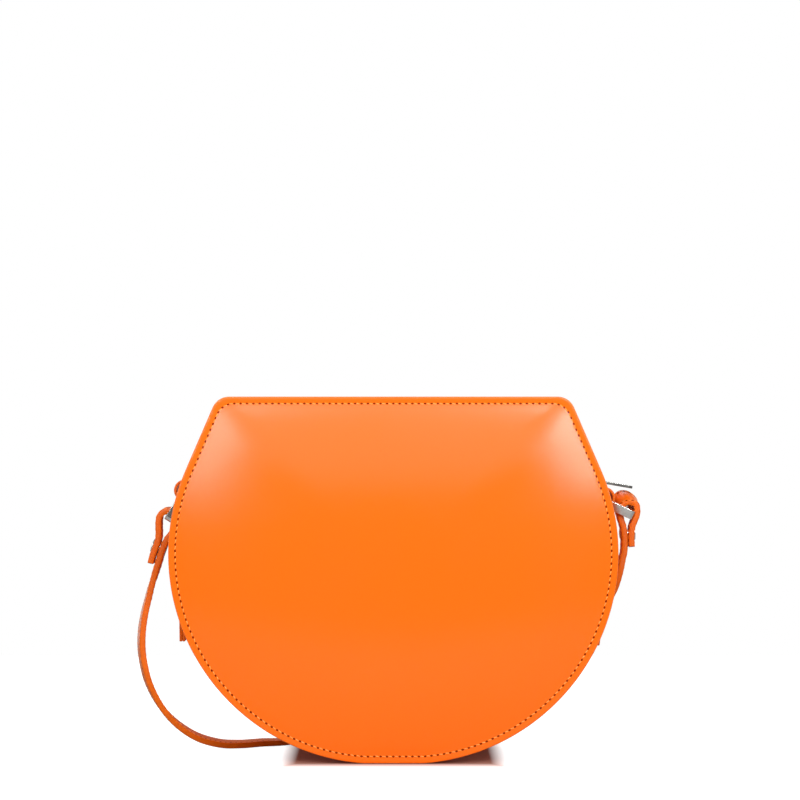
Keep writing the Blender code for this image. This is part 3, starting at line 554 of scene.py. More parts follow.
# Where each end starts to bend away from the bag, and where it moves wholly with its ring.
STRAP_BENDS = {
    "strap_left_end": ("left_ring", (-0.1140, 0.002, 0.0275), (-0.1094, 0, 0.0988)),
    "strap_right_end": ("right_ring", (0.0815, 0.044, 0.0338), (0.1100, 0, 0.0992)),
}
for name, (frames, cuts) in strap_lengths.items():
    piece = strap_piece(name, frames, (STRAP_LEATHER, STRAP_EDGE_PAINT), *cuts)
    sewing = stitched(name + "_stitches", strap_stitches(frames))
    for item in (piece, sewing):
        if name in STRAP_BENDS:
            ring_body, start, end = STRAP_BENDS[name]
            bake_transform(item)
        else:
            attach(item, "bag")
    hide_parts("shoulder_strap")
    path = [tuple(centre) for centre, across, out in frames[::3]]
    ends = {"strap_left_end": path[-1], "strap_middle": path[0], "strap_right_end": path[0]}
    length = sum((Vector(b) - Vector(a)).length for a, b in zip(path, path[1:]))
    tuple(ends[name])


# Front and back panels. Each is one piece of smooth leather over a stiff board, flat along its sewn
# rim and slightly crowned inside it. It is cut with a flat foot, two round sides, two straight
# slants and a flat top, sewn 3 mm in from the edge.
HALF_DEPTH = 0.0375
PANEL_THICKNESS = 0.0016
PANEL_CROWN = 0.0040
PANEL_TOP = 0.171
ARC_X = 0.007
ARC_Z = 0.09775
ARC_RADIUS = 0.098
ARC_FIRST = math.acos(ARC_Z / ARC_RADIUS) - math.pi / 2
SLANT_ANGLE = math.radians(23.4)
OUTER_CORNER = 0.0085
INNER_CORNER = 0.0090
CROWN_INSET = 0.0039
CROWN_CORNER = 0.020
SEAM_ROW = 3
SEAM_DENT = 0.00010
RIM_SEAM = 0.0033
RIM_PITCH = 0.00296
THREAD_SLANT = math.radians(12)
THREAD_SINK = 0.00002
FLANGE_BACK = 0.0017
CROWN_CENTRE = Vector((0.0, 0.088))
FOOT_STEPS, ARC_STEPS, SLANT_STEPS, CORNER_STEPS, TOP_STEPS = 4, 72, 12, 12, 28
PANEL_TONES = (0.95, 0.152, 0.0040), (0.88, 0.130, 0.0028)
PANEL_LEATHER = leather("orange_leather_panel", *PANEL_TONES, 0.15)
PAINT_TONES = (0.97, 0.200, 0.009), (0.90, 0.165, 0.006)
EDGE_PAINT = plain_finish("edge_paint", *PAINT_TONES, 0.30, PAINT_SCALE, FINE_RELIEF, gloss=0.4)


def pointing(angle):
    return Vector((math.cos(angle), math.sin(angle)))


def mirrored(rows):
    """Rows of the outline's right side as they lie on the left."""
    return [(Vector((-point.x, point.y)), math.pi - angle) for point, angle in rows]


def half_outline(inset, corner):
    """The outline's right half drawn in by inset: (point, outward angle) from foot to top."""
    radius = ARC_RADIUS - inset
    middle = Vector((ARC_X, ARC_Z))
    outward = pointing(SLANT_ANGLE)
    upward = Vector((-math.sin(SLANT_ANGLE), math.cos(SLANT_ANGLE)))
    slant_start = middle + outward * radius
    top = PANEL_TOP - inset
    crossing = slant_start + upward * ((top - slant_start.y) / upward.y)
    tangent = corner * math.tan((math.pi / 2 - SLANT_ANGLE) / 2)
    slant_end = crossing - upward * tangent
    centre = slant_end - outward * corner
    foot = middle + radius * pointing(ARC_FIRST)
    rows = [(Vector((foot.x * i / FOOT_STEPS, foot.y)), -math.pi / 2) for i in range(FOOT_STEPS)]
    for i in range(ARC_STEPS + 1):
        angle = ARC_FIRST + (SLANT_ANGLE - ARC_FIRST) * i / ARC_STEPS
        rows.append((middle + radius * pointing(angle), angle))
    for i in range(1, SLANT_STEPS):
        rows.append((slant_start.lerp(slant_end, i / SLANT_STEPS), SLANT_ANGLE))
    for i in range(CORNER_STEPS + 1):
        angle = SLANT_ANGLE + (math.pi / 2 - SLANT_ANGLE) * i / CORNER_STEPS
        rows.append((centre + corner * pointing(angle), angle))
    for i in range(1, TOP_STEPS + 1):
        x = (crossing.x - tangent) * (1 - i / TOP_STEPS)
        rows.append((Vector((x, top)), math.pi / 2))
    return rows


def whole_outline(inset, corner):
    """Closed outline drawn in by inset, anticlockwise from the foot's middle and back to it."""
    right = half_outline(inset, corner)
    return right + mirrored(right[-2::-1])


def bent_grid(name, columns, rows, place):
    """Flat grid of faces bent to shape: place gives the point of each column and row."""
    bpy.ops.mesh.primitive_grid_add(x_subdivisions=columns, y_subdivisions=rows, size=1)
    piece = bpy.context.object
    piece.name = name
    for vertex in piece.data.vertices:
        column = round((vertex.co.x + 0.5) * columns)
        row = round((vertex.co.y + 0.5) * rows)
        vertex.co = place(column, row)
    piece.data.uv_layers.active.name = "UVMap"
    return piece


def modify(piece, kind, **settings):
    """Change a piece's mesh with a modifier and its settings."""
    select_only(piece)
    change = piece.modifiers.new(kind, kind)
    for label, value in settings.items():
        setattr(change, label, value)
    bpy.ops.object.modifier_apply(modifier=kind)


def round_edges(piece, width, segments, angle):
    """Round off the edges that are sharper than an angle."""
    limit = {"limit_method": "ANGLE", "angle_limit": math.radians(angle)}
    modify(piece, "BEVEL", width=width, segments=segments, **limit)


def smooth_faces(piece, angle):
    """Smooth shading up to an angle, with broad flat faces kept flat beside rounded edges."""
    select_only(piece)
    bpy.ops.object.shade_smooth_by_angle(angle=math.radians(angle))
    modify(piece, "WEIGHTED_NORMAL", keep_sharp=True)


def finish_sheet(piece, materials, thickness, offset, edge_round=0.0, segments=2):
    """Give a bent sheet its finishes, its thickness and its rounded cut edges, and apply them."""
    for material in materials:
        piece.data.materials.append(material)
    edit_all(piece)
    bpy.ops.mesh.remove_doubles(threshold=0.00001)
    bpy.ops.mesh.normals_make_consistent(inside=False)
    bpy.ops.object.mode_set(mode="OBJECT")
    rim = {"use_even_offset": True, "use_rim": True, "material_offset_rim": len(materials) - 1}
    modify(piece, "SOLIDIFY", thickness=thickness, offset=offset, **rim)
    if edge_round:
        round_edges(piece, edge_round, segments, 50)
    smooth_faces(piece, 40)


OUTER_LINE = whole_outline(0, OUTER_CORNER)
CROWN_LINE = whole_outline(CROWN_INSET, INNER_CORNER)
SOFT_LINE = whole_outline(CROWN_INSET, CROWN_CORNER)
RIM_SHARES = (0.0, 0.28, 0.60, 0.82, 0.92)
PANEL_RINGS = (1.0, 0.985, 0.965, 0.94, 0.91, 0.87, 0.82, 0.76, 0.69)
PANEL_RINGS += (0.61, 0.52, 0.43, 0.34, 0.25, 0.16, 0.08, 0.0)


def panel_point(side, column, row):
    """Point of a panel's outer face; rows run from the cut edge to the middle of the crown."""
    outer = OUTER_LINE[column][0]
    inner = CROWN_LINE[column][0]
    if row < len(RIM_SHARES):
        point = outer.lerp(inner, RIM_SHARES[row])
        rise = -SEAM_DENT if row == SEAM_ROW else 0.0
    else:
        fraction = PANEL_RINGS[row - len(RIM_SHARES)]
        line = SOFT_LINE[column][0].lerp(inner, fraction**6)
        point = CROWN_CENTRE + (line - CROWN_CENTRE) * fraction
        rise = PANEL_CROWN * (1 - fraction**3)
    return Vector((point.x, side * (HALF_DEPTH + rise), point.y))


def panel(side, name, node):
    columns = len(OUTER_LINE) - 1
    rows = len(RIM_SHARES) + len(PANEL_RINGS) - 1
    piece = bent_grid(name, columns, rows, lambda column, row: panel_point(side, column, row))
    finish_sheet(piece, (PANEL_LEATHER, EDGE_PAINT), PANEL_THICKNESS, -1, 0.0005, 3)
    fit(piece, "bag", node)


def line_length(line):
    return sum((far - near).length for near, far in zip(line, line[1:]))


def rim_stitches(face_y, thread_side):
    """Places of the stitches along a rim, on the face at face_y that looks along thread_side."""
    seam = whole_outline(RIM_SEAM, OUTER_CORNER)
    line = [Vector((point.x, face_y, point.y)) for point, angle in seam]
    count = round(line_length(line) / RIM_PITCH)
    normal = Vector((0, thread_side, 0))
    slant = Matrix.Rotation(THREAD_SLANT * thread_side, 3, normal)

    def lay(i, share, along):
        return slant @ along, normal.cross(slant @ along), normal

    return sewn(line, line_length(line) / count, 0.0, lay, count)


for side, place in ((-1, "front"), (1, "back")):
    panel(side, place + "_leather", place + "_panel")
    places = rim_stitches(side * (HALF_DEPTH - THREAD_SINK), side)
    places += rim_stitches(side * (HALF_DEPTH - PANEL_THICKNESS - FLANGE_BACK), -side)
    fit(stitched(place + "_rim_stitches", places), "bag")


# Lower gusset. A band of the same leather round the foot and both sides, set 6.5 mm in from the
# panels' edges, with its own edges turned out and sewn against them. It ends on each side under
# the tab, where the zip's two strips begin.
GUSSET_THICKNESS = 0.0014
GUSSET_RECESS = 0.0065
FLANGE_MIDDLE = HALF_DEPTH - PANEL_THICKNESS - 0.0003 - GUSSET_THICKNESS / 2
WALL_MIDDLE = GUSSET_RECESS + GUSSET_THICKNESS / 2
SPLIT_ANGLE = math.radians(14.5)
SPLIT_GAP = 0.0006 / ARC_RADIUS
TURN_RADIUS = 0.0016
FLANGE_WIDTH = 0.0028
GUSSET_TONES = (0.93, 0.168, 0.0050), (0.86, 0.140, 0.0035)
GUSSET_LEATHER = leather("orange_leather_gusset", *GUSSET_TONES, 0.30)


def part_outline(inset, corner, lower):
    """The outline's rows below or above the joint of the gusset, anticlockwise, both sides."""
    split = SPLIT_ANGLE - SPLIT_GAP if lower else SPLIT_ANGLE
    end = Vector((ARC_X, ARC_Z)) + (ARC_RADIUS - inset) * pointing(split)
    half = half_outline(inset, corner)
    if lower:
        right = [row for row in half if row[1] < split - 0.001] + [(end, split)]
        return mirrored(right[:0:-1]) + right
    right = [(end, split)] + [row for row in half if row[1] > split + 0.001]
    return right + mirrored(right[-2::-1])


def corner_at(inset):
    """Radius of the outline's top corner, which opens a little from the rim to the wall."""
    return OUTER_CORNER + (INNER_CORNER - OUTER_CORNER) * min(inset / WALL_MIDDLE, 1)


def rounded_bend(before, bend, after, radius, steps=4):
    """Profile points round a bend, as (inset, y)."""
    start = bend + (before - bend).normalized() * radius
    end = bend + (after - bend).normalized() * radius
    centre = start + end - bend
    points = []
    for i in range(steps + 1):
        turn = math.radians(90) * i / steps
        points.append(centre + (start - centre) * math.cos(turn) + (end - centre) * math.sin(turn))
    return points


def band(name, profile, lower, materials, thickness, edge_round):
    """Sheet that follows the outline, with the given (inset, y) profile across it."""
    lines = [part_outline(inset, corner_at(inset), lower) for inset, y in profile]
    columns = len(lines[0]) - 1

    def place(column, row):
        point = lines[row][column][0]
        return Vector((point.x, profile[row][1], point.y))

    piece = bent_grid(name, columns, len(profile) - 1, place)
    finish_sheet(piece, materials, thickness, 0, edge_round)
    return piece


flange_back = Vector((0.0, FLANGE_MIDDLE))
turn_back = Vector((WALL_MIDDLE, FLANGE_MIDDLE))
wall_middle = Vector((WALL_MIDDLE, 0.0))
back_half = [flange_back, Vector((FLANGE_WIDTH, FLANGE_MIDDLE))]
back_half += rounded_bend(flange_back, turn_back, wall_middle, TURN_RADIUS)
back_half += [Vector((WALL_MIDDLE, FLANGE_MIDDLE * share)) for share in (0.8, 0.55, 0.3)]
front_half = [Vector((inset, -y)) for inset, y in back_half]
gusset_profile = front_half + [wall_middle] + back_half[::-1]
GUSSET_FINISH = (GUSSET_LEATHER, EDGE_PAINT), GUSSET_THICKNESS, 0.0004
gusset = band("gusset_leather", gusset_profile, True, *GUSSET_FINISH)
fit(gusset, "bag", "lower_gusset")


def outward_at(rows, i, share):
    """Direction out of the wall, partway along a step of the outline."""
    angle = rows[i][1] + (rows[i + 1][1] - rows[i][1]) * share
    return Vector((math.cos(angle), 0, math.sin(angle)))


def wall_stitches(y, rows):
    """Places of a line of stitches along the gusset's outer face at one depth."""
    line = [Vector((point.x, y, point.y)) for point, angle in rows]

    def lay(i, share, along):
        normal = outward_at(rows, i, share)
        return along, normal.cross(along), normal

    return sewn(line, STITCH_PITCH, STITCH_PITCH / 2, lay)


CROSS_SEAM_DROP = 0.0025
CROSS_SEAM_HALF = 10
CROSS_SEAM_REACH = 0.0325


def cross_stitches():
    """Places of the seam across the gusset near its upper ends, just below the joint."""
    places = []
    angle = SPLIT_ANGLE - CROSS_SEAM_DROP / ARC_RADIUS
    radius = ARC_RADIUS - GUSSET_RECESS
    along = Vector((0, 1, 0))
    for side in (-1, 1):
        normal = Vector((side * math.cos(angle), 0, math.sin(angle)))
        x = ARC_X + radius * math.cos(angle)
        base = Vector((side * x, 0, ARC_Z + radius * math.sin(angle)))
        for number in range(-CROSS_SEAM_HALF, CROSS_SEAM_HALF + 1):
            for shift, model in ((0.0, 0), (STITCH_PITCH / 2, 1)):
                y = number * STITCH_PITCH + shift
                if abs(y) < CROSS_SEAM_REACH:
                    frame_here = axes(along, normal.cross(along), normal, base + along * y)
                    places.append((frame_here, model))
    return places


# Zip strips. A strip of the same leather along each side of the zip, from side to side over the
# top, sewn to the panel's rim like the gusset and to the zip's tape along its free edge.
SLOT_WIDTH = 0.0105
ZIP_SEAM = 0.0022
gusset_sewing = cross_stitches()
for side, place in ((-1, "front"), (1, "back")):
    profile = [Vector((inset, side * y)) for inset, y in back_half[:-3]]
    profile += [Vector((WALL_MIDDLE, side * y)) for y in (0.028, 0.020, 0.012, SLOT_WIDTH / 2)]
    strip = band("zip_strip_leather_" + place, profile, False, *GUSSET_FINISH)
    fit(strip, "bag", "zip_strip_" + place)
    wall_rows = part_outline(GUSSET_RECESS, corner_at(GUSSET_RECESS), False)
    gusset_sewing += wall_stitches(side * (SLOT_WIDTH / 2 + ZIP_SEAM), wall_rows)
fit(stitched("gusset_stitches", gusset_sewing), "bag")


# Zip. A woven tape is sewn under each strip, with a row of cast metal teeth clamped on its cord.
# The two rows mesh from side to side over the top, between a stop at each end.
TAPE_MIDDLE = 0.0085
ZIP_PARTING = 0.0013
ZIP_ENDS = 0.011
TOOTH_LENGTH = 0.0022
TOOTH_CLAMP = 0.0003
TOOTH_SIZE = (0.00105, TOOTH_LENGTH + TOOTH_CLAMP, 0.0020)
TOOTH_EASE = 0.00016
TOOTH_PITCH = 0.0025
TAPE_EDGE = ZIP_PARTING / 2 + TOOTH_LENGTH + TOOTH_CLAMP
TAPE_WIDTH = 0.0130
TAPE_THICKNESS = 0.0006
CORD_RADIUS = 0.0007
CORD_SKIN = 0.0002
STOP_EASE = 0.0003
CLOTH_RELIEF = 0.00012
CLOTH_SHEEN = 0.25


def weave_group():
    """Plain weave: two sets of yarns that cross, raised where one lies on the other."""
    group, start, end = new_group(
        "plain_weave",
        [("Vector", "NodeSocketVector", (0, 0, 0)), ("Scale", "NodeSocketFloat", 9000.0)],
        [("Height", "NodeSocketFloat"), ("Shade", "NodeSocketFloat")],
    )
    parts = group.nodes.new("ShaderNodeSeparateXYZ")
    group.links.new(start.outputs["Vector"], parts.inputs[0])
    x, y, z = parts.outputs
    first = math_node(group, "MULTIPLY", math_node(group, "ADD", x, y), start.outputs["Scale"])
    slanted = math_node(group, "ADD", z, math_node(group, "MULTIPLY", y, 0.37))
    second = math_node(group, "MULTIPLY", slanted, start.outputs["Scale"])
    waves = [math_node(group, "SINE", line, 0) for line in (first, second)]
    cross = math_node(group, "MULTIPLY", *waves)
    fuzz = noise(group, start.outputs["Vector"], 4200.0, 3.0, 0.6)
    raised = math_node(group, "ADD", math_node(group, "MULTIPLY", cross, 0.5), fuzz)
    feed(group, end.inputs, (raised, ranged(group, raised, 0.1, 0.9)))
    return group


WEAVE = weave_group()


def cloth(name, base, deep, scale, roughness=0.85):
    """Plain woven cloth, darker where its yarns lie low: painted shade in the weave's hollows; the
    scale is in radians per metre across its yarns.
    """
    material, tree, shader, place = new_finish(name)
    weave = placed_group(tree, WEAVE, {"Vector": place, "Scale": scale})
    colour = mix_colour(tree, weave["Shade"], (*deep, 1), (*base, 1))
    rough = math_node(tree, "ADD", roughness, ranged(tree, weave["Shade"], 0, 1, 0.05, -0.05))
    set_surface(tree, shader, colour, rough, weave["Height"], CLOTH_RELIEF)
    shader.inputs["Sheen Weight"].default_value = CLOTH_SHEEN
    return material


TAPE_CLOTH = cloth("zip_tape_cloth", (0.80, 0.15, 0.015), (0.42, 0.06, 0.005), 9500)
NICKEL_TONES = (0.82, 0.80, 0.76), (0.72, 0.70, 0.66)
NICKEL = plain_finish("polished_nickel", *NICKEL_TONES, 0.13, 260, 0.000004, metallic=1.0)
for side, place in ((-1, "front"), (1, "back")):
    depths = [side * (TAPE_EDGE + TAPE_WIDTH * share) for share in (0, 0.2, 0.6, 1)]
    profile = [Vector((TAPE_MIDDLE, y)) for y in depths]
    tape = band("zip_tape_woven_" + place, profile, False, (TAPE_CLOTH,), TAPE_THICKNESS, 0.0)
    fit(tape, "bag", "zip_tape_" + place)


def tooth_model():
    """One tooth pointing along Y: a body clamped on the cord and a knob that meshes."""
    bpy.ops.mesh.primitive_cube_add(size=1)
    tooth = bpy.context.object
    tooth.name = "tooth_model"
    edit_all(tooth)
    bpy.ops.mesh.bisect(plane_co=(0, -0.05, 0), plane_no=(0, 1, 0))
    bpy.ops.mesh.select_all(action="SELECT")
    bpy.ops.mesh.bisect(plane_co=(0, 0.2, 0), plane_no=(0, 1, 0))
    choose(lambda co: -0.1 < co.y < 0.0)
    bpy.ops.transform.resize(value=(0.62, 1, 0.80))
    choose(lambda co: co.y > 0.4)
    bpy.ops.transform.resize(value=(0.72, 1, 0.72))
    bpy.ops.mesh.select_all(action="SELECT")
    bpy.ops.transform.resize(value=TOOTH_SIZE, center_override=(0, 0, 0))
    bpy.ops.mesh.bevel(offset=TOOTH_EASE, segments=1, affect="EDGES")
    bpy.ops.object.mode_set(mode="OBJECT")
    return tooth


zip_rows = part_outline(TAPE_MIDDLE, INNER_CORNER, False)
zip_line = [Vector((point.x, 0, point.y)) for point, angle in zip_rows]
zip_length = line_length(zip_line)
tooth_count = int((zip_length - ZIP_ENDS) / TOOTH_PITCH)
first_tooth = (zip_length - (tooth_count - 1) * TOOTH_PITCH) / 2
tooth = tooth_model()


def cord_section(side):
    """Profile of the cord that the teeth grip, as (inset, y) round a small half circle."""
    points = []
    for i in range(7):
        turn = math.radians(-90 + 30 * i)
        y = TAPE_EDGE + CORD_RADIUS / 2 - CORD_RADIUS * math.cos(turn)
        points.append(Vector((TAPE_MIDDLE + CORD_RADIUS * math.sin(turn), side * y)))
    return points


for side, place in ((-1, "front"), (1, "back")):
    places = []
    inward = Vector((0, -side, 0))
    middle = Vector((0, side * (ZIP_PARTING + TOOTH_SIZE[1]) / 2, 0))
    start = first_tooth + side * TOOTH_PITCH / 4
    for i, share in walked(zip_line, TOOTH_PITCH, start)[:tooth_count]:
        normal = outward_at(zip_rows, i, share)
        point = zip_line[i].lerp(zip_line[i + 1], share) + middle
        places.append((axes(inward.cross(normal), inward, normal, point), 0))
    teeth = copied("zip_teeth_cast_" + place, (tooth,), places, (NICKEL,))
    select_only(teeth)
    bpy.ops.object.shade_flat()
    fit(teeth, "bag", "zip_teeth_" + place)
    section = cord_section(side)
    cord = band("zip_cord_" + place, section, False, (TAPE_CLOTH,), CORD_SKIN, 0.0)
    fit(cord, "bag")
bpy.data.objects.remove(tooth, do_unlink=True)


def polished_copy(node, name, ease_width, body, reach=None):
    """The node's own shape in nickel with its edges eased, and an end moved out by a reach."""
    piece = linked(name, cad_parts[node].data.copy())
    edit_all(piece)
    bpy.ops.mesh.remove_doubles(threshold=0.00001)
    bpy.ops.mesh.dissolve_limited(angle_limit=math.radians(1))
    if reach:
        choose(reach[0])
        bpy.ops.transform.translate(value=reach[1])
    bpy.ops.object.mode_set(mode="OBJECT")
    round_edges(piece, ease_width, 2, 25)
    smooth_faces(piece, 30)
    piece.data.materials.clear()
    piece.data.materials.append(NICKEL)
    fit(piece, body, node)


for node in ("zip_top_stop", "zip_bottom_stop"):
    polished_copy(node, node + "_cast", STOP_EASE, "bag")


# Slider and pull. A cast slider closes round both rows, and a flat polished pull with a window
# hangs from its bridge. The pull's free end reaches 2.2 mm farther than the solid's.
SLIDER_EASE = 0.00022
PULL_EASE = 0.00012
PULL_REACH = (lambda co: co.x > 0.105, (0.0022, 0, -0.0004))
polished_copy("zip_slider", "zip_slider_cast", SLIDER_EASE, "slider")
polished_copy("zip_pull", "zip_pull_polished", PULL_EASE, "pull", PULL_REACH)


# Rings. Each is a rectangle bent from polished flat wire, with the 12 mm strap and the tab through
# it. It hangs at the bottom of its fold, and leans as far as the fold lets it.
RING_LENGTH = 0.0148
RING_BAR = 0.0022
RING_BAND = 0.0042
RING_HALF_WIDTH = 0.0070
RING_CORNER_INSIDE = 0.0009
RING_CORNER_OUTSIDE = 0.0020
RING_EASE = 0.00022
PIVOT_HEIGHTS = {"left": 0.12635, "right": 0.12275}
PIVOT_REACH = 0.0015
RING_RESTS = {"left": math.radians(58), "right": math.radians(25)}
RING_LEANS = {"left": math.radians(3), "right": math.radians(10)}
RING_SAGS = {"left": Vector((-0.0003, 0, -0.0009)), "right": Vector((-0.0002, 0, -0.0004))}
MIRRORS = {"left": Vector((-1, 1, 1)), "right": Vector((1, 1, 1))}
TAB_GAP = 0.0003
TAB_LOOP = 0.0038


def wall_x(height):
    """Outer face of the gusset on the right at a height on the round side."""
    radius = ARC_RADIUS - GUSSET_RECESS
    return ARC_X + math.sqrt(radius**2 - (height - ARC_Z) ** 2)


def ring_axes(place):
    """Pivot of a ring, the way it points and the way its broad face looks."""
    mirror = MIRRORS[place]
    height = PIVOT_HEIGHTS[place]
    pivot = Vector((wall_x(height) + TAB_GAP + TAB_LOOP + PIVOT_REACH, 0, height))
    rest = RING_RESTS[place]
    along = Vector((math.cos(rest), 0, -math.sin(rest)))
    up = Vector((math.sin(rest), 0, math.cos(rest)))
    return pivot * mirror, along * mirror, up * mirror


def rounded_rectangle(left, right, half_height, corner, steps=8):
    """Closed line of points round a rectangle with round corners."""
    points = []
    for quarter, (x, y) in enumerate(((right, 1), (left, 1), (left, -1), (right, -1))):
        centre_x = x - math.copysign(corner, x - (left + right) / 2)
        for step in range(steps + 1):
            turn = math.radians(90 * (quarter + step / steps))
            px = centre_x + corner * math.cos(turn)
            points.append((px, y * (half_height - corner) + corner * math.sin(turn)))
    return points + points[:1]


for place in ("left", "right"):
    pivot, along, up = ring_axes(place)
    pivot += RING_SAGS[place] * MIRRORS[place]
    across = Vector((0, math.cos(RING_LEANS[place]), 0)) + up * math.sin(RING_LEANS[place])
    bar = RING_BAR / 2
    outer_half = RING_HALF_WIDTH + RING_BAR
    lines = (
        rounded_rectangle(bar, RING_LENGTH - bar, RING_HALF_WIDTH, RING_CORNER_INSIDE),
        rounded_rectangle(-bar, RING_LENGTH + bar, outer_half, RING_CORNER_OUTSIDE),
    )

    def ring_point(column, row):
        x, y = lines[row][column]
        return pivot + along * x + across * y

    ring = bent_grid("ring_polished_" + place, len(lines[0]) - 1, 1, ring_point)
    finish_sheet(ring, (NICKEL,), RING_BAND, 0, RING_EASE, 2)
    fit(ring, place + "_ring", "ring_" + place)


# Side tabs. A leather strip 13 mm wide is folded round the ring's inner bar; both layers are sewn
# together down the gusset, and its end hangs straight down free of the round side.
TAB_WIDTH = 0.0130
TAB_LEATHER = 0.0013
TAB_LAYER_GAP = 0.0001
TAB_EDGE_ROUND = 0.0004
TAB_OPENING = math.radians(40)
TAB_LOOP_STEPS = 32
TAB_FEET = {"left": (0.0044, 0.0434), "right": (0.0082, 0.0453)}
TAB_STANDS = {"left": 0.0008, "right": 0.0020}
TAB_HANG_DROP = 0.0060
TAB_PINCH_DROP = 0.0086
TAB_SEAM = 0.0047


def tab_leg(place):
    """Middle of the two layers from the hanging end up to the pinch below the ring."""
    stack = TAB_GAP + TAB_LEATHER + TAB_LAYER_GAP / 2 + TAB_STANDS[place]
    foot_inset, foot_drop = TAB_FEET[place]
    leg = [Vector((ARC_X + ARC_RADIUS - foot_inset, 0, ARC_Z - foot_drop))]
    leg.append(Vector((wall_x(ARC_Z) + stack, 0, ARC_Z - TAB_HANG_DROP)))
    pinch = PIVOT_HEIGHTS[place] - TAB_PINCH_DROP
    for step in range(4):
        seat = ARC_Z + (pinch - ARC_Z) * step / 3
        leg.append(Vector((wall_x(seat) + stack, 0, seat)))
    return leg


def tab_line(place):
    """Line of the folded strip from its inner end round the ring, and its outer layer alone."""
    pivot = ring_axes(place)[0] * MIRRORS[place]
    layer = Vector(((TAB_LEATHER + TAB_LAYER_GAP) / 2, 0, 0))
    leg = tab_leg(place)
    loop = []
    for step in range(TAB_LOOP_STEPS + 1):
        opened = math.pi + TAB_OPENING
        angle = opened - (opened + TAB_OPENING) * step / TAB_LOOP_STEPS
        direction = Vector((math.cos(angle), 0, math.sin(angle)))
        loop.append(pivot + (TAB_LOOP + TAB_LEATHER / 2) * direction)
    inner = eased_line([point - layer for point in leg] + loop[:1], 5)[:-1]
    outer = eased_line([point + layer for point in leg] + loop[-1:], 5)[-2::-1]
    return inner + loop + outer, outer


def tab_stitches(outer, side):
    """Places of the two seams down the outer layer of a tab."""
    places = []
    for y in (-TAB_SEAM, TAB_SEAM):
        seam = [Vector((point.x, y, point.z)) for point in outer]

        def lay(i, share, along):
            normal = along.cross(Vector((0, side, 0)))
            return along, normal.cross(along), normal

        places += sewn(seam, STITCH_PITCH, STITCH_PITCH / 2, lay)
    lift = Matrix.Translation((0, 0, TAB_LEATHER / 2))
    return [(matrix @ lift, model) for matrix, model in places]


for place, mirror in MIRRORS.items():
    line, outer = tab_line(place)

    def tab_point(column, row):
        return Vector((line[column].x * mirror.x, (row / 4 - 0.5) * TAB_WIDTH, line[column].z))

    tab = bent_grid("side_tab_leather_" + place, len(line) - 1, 4, tab_point)
    finish_sheet(tab, (STRAP_LEATHER, STRAP_EDGE_PAINT), TAB_LEATHER, 0, TAB_EDGE_ROUND, 3)
    fit(tab, "bag", "side_tab_" + place)
    seams = tab_stitches([point * mirror for point in outer[:-1]], mirror.x)
    fit(stitched("side_tab_stitches_" + place, seams), "bag")


# Strap studs. A polished screw stud holds each folded end: a low domed head, outside on the left
# and toward the bag on the right, and opposite it a flat cap with a screwdriver's slot.
STUD_PLACES = {
    "left": (Vector((-0.1120, 0, 0.0988)), math.radians(160)),
    "right": (Vector((0.1120, 0, 0.1058)), math.radians(182)),
}
STUD_RADIUS = 0.0034
STUD_SHAFT = 0.0015
STUD_EASE = 0.0001
STRAP_LAYER_PITCH = 0.0032
STUD_FACE = STRAP_LAYER_PITCH / 2 + STRAP_THICKNESS / 2 + 0.0001
SHAFT_END = -STUD_FACE + 0.0003
DOME_HEIGHT = 0.0009
DOME_FOOT = 0.00025
CAP_FACE = -STUD_FACE - 0.0004
CAP_EASE = 0.0002
CAP_SLOT = (0.0046, 0.0007, 0.0005)


def turned_piece(name, profile, steps=40):
    """Solid of revolution about Z, spun from a profile listed from the axis outwards."""
    bpy.ops.mesh.primitive_plane_add(size=0.001)
    piece = bpy.context.object
    piece.name = name
    edit_all(piece)
    bpy.ops.mesh.merge(type="CENTER")
    bpy.ops.transform.translate(value=(profile[0][0], 0, profile[0][1]))
    for (r0, z0), (r1, z1) in zip(profile, profile[1:]):
        bpy.ops.mesh.extrude_region_move(TRANSFORM_OT_translate={"value": (r1 - r0, 0, z1 - z0)})
    bpy.ops.mesh.select_all(action="SELECT")
    bpy.ops.mesh.spin(steps=steps, angle=math.tau, center=(0, 0, 0), axis=(0, 0, 1))
    bpy.ops.mesh.select_all(action="SELECT")
    bpy.ops.mesh.remove_doubles(threshold=0.000005)
    bpy.ops.mesh.normals_make_consistent(inside=False)
    bpy.ops.object.mode_set(mode="OBJECT")
    return piece


def head_profile():
    """Domed head and its shaft, as (radius, height) from the top of the dome to the shaft's end."""
    profile = []
    for i in range(9):
        turn = math.radians(90 - 10 * i)
        rise = DOME_HEIGHT * (math.sin(turn) - math.sin(math.radians(10))) + DOME_FOOT
        radius = STUD_RADIUS * math.cos(turn) * 0.99 if i else 0
        profile.append((radius, STUD_FACE + rise))
    profile += [(STUD_RADIUS, STUD_FACE + STUD_EASE), (STUD_RADIUS - STUD_EASE, STUD_FACE)]
    return profile + [(STUD_SHAFT, STUD_FACE), (STUD_SHAFT, SHAFT_END), (0, SHAFT_END)]


def cap_profile():
    """Flat cap, as (radius, height) from the strap's face outwards."""
    profile = [(0, -STUD_FACE), (STUD_RADIUS - STUD_EASE, -STUD_FACE)]
    profile += [(STUD_RADIUS, -STUD_FACE - STUD_EASE), (STUD_RADIUS, CAP_FACE + CAP_EASE)]
    return profile + [(STUD_RADIUS - CAP_EASE, CAP_FACE), (0, CAP_FACE)]


def cut_slot(cap):
    """Cut the screwdriver's slot across a cap."""
    bpy.ops.mesh.primitive_cube_add(size=1, location=(0, 0, CAP_FACE))
    cutter = bpy.context.object
    cutter.scale = CAP_SLOT
    bpy.context.view_layer.update()
    modify(cap, "BOOLEAN", operation="DIFFERENCE", object=cutter)
    bpy.data.objects.remove(cutter, do_unlink=True)


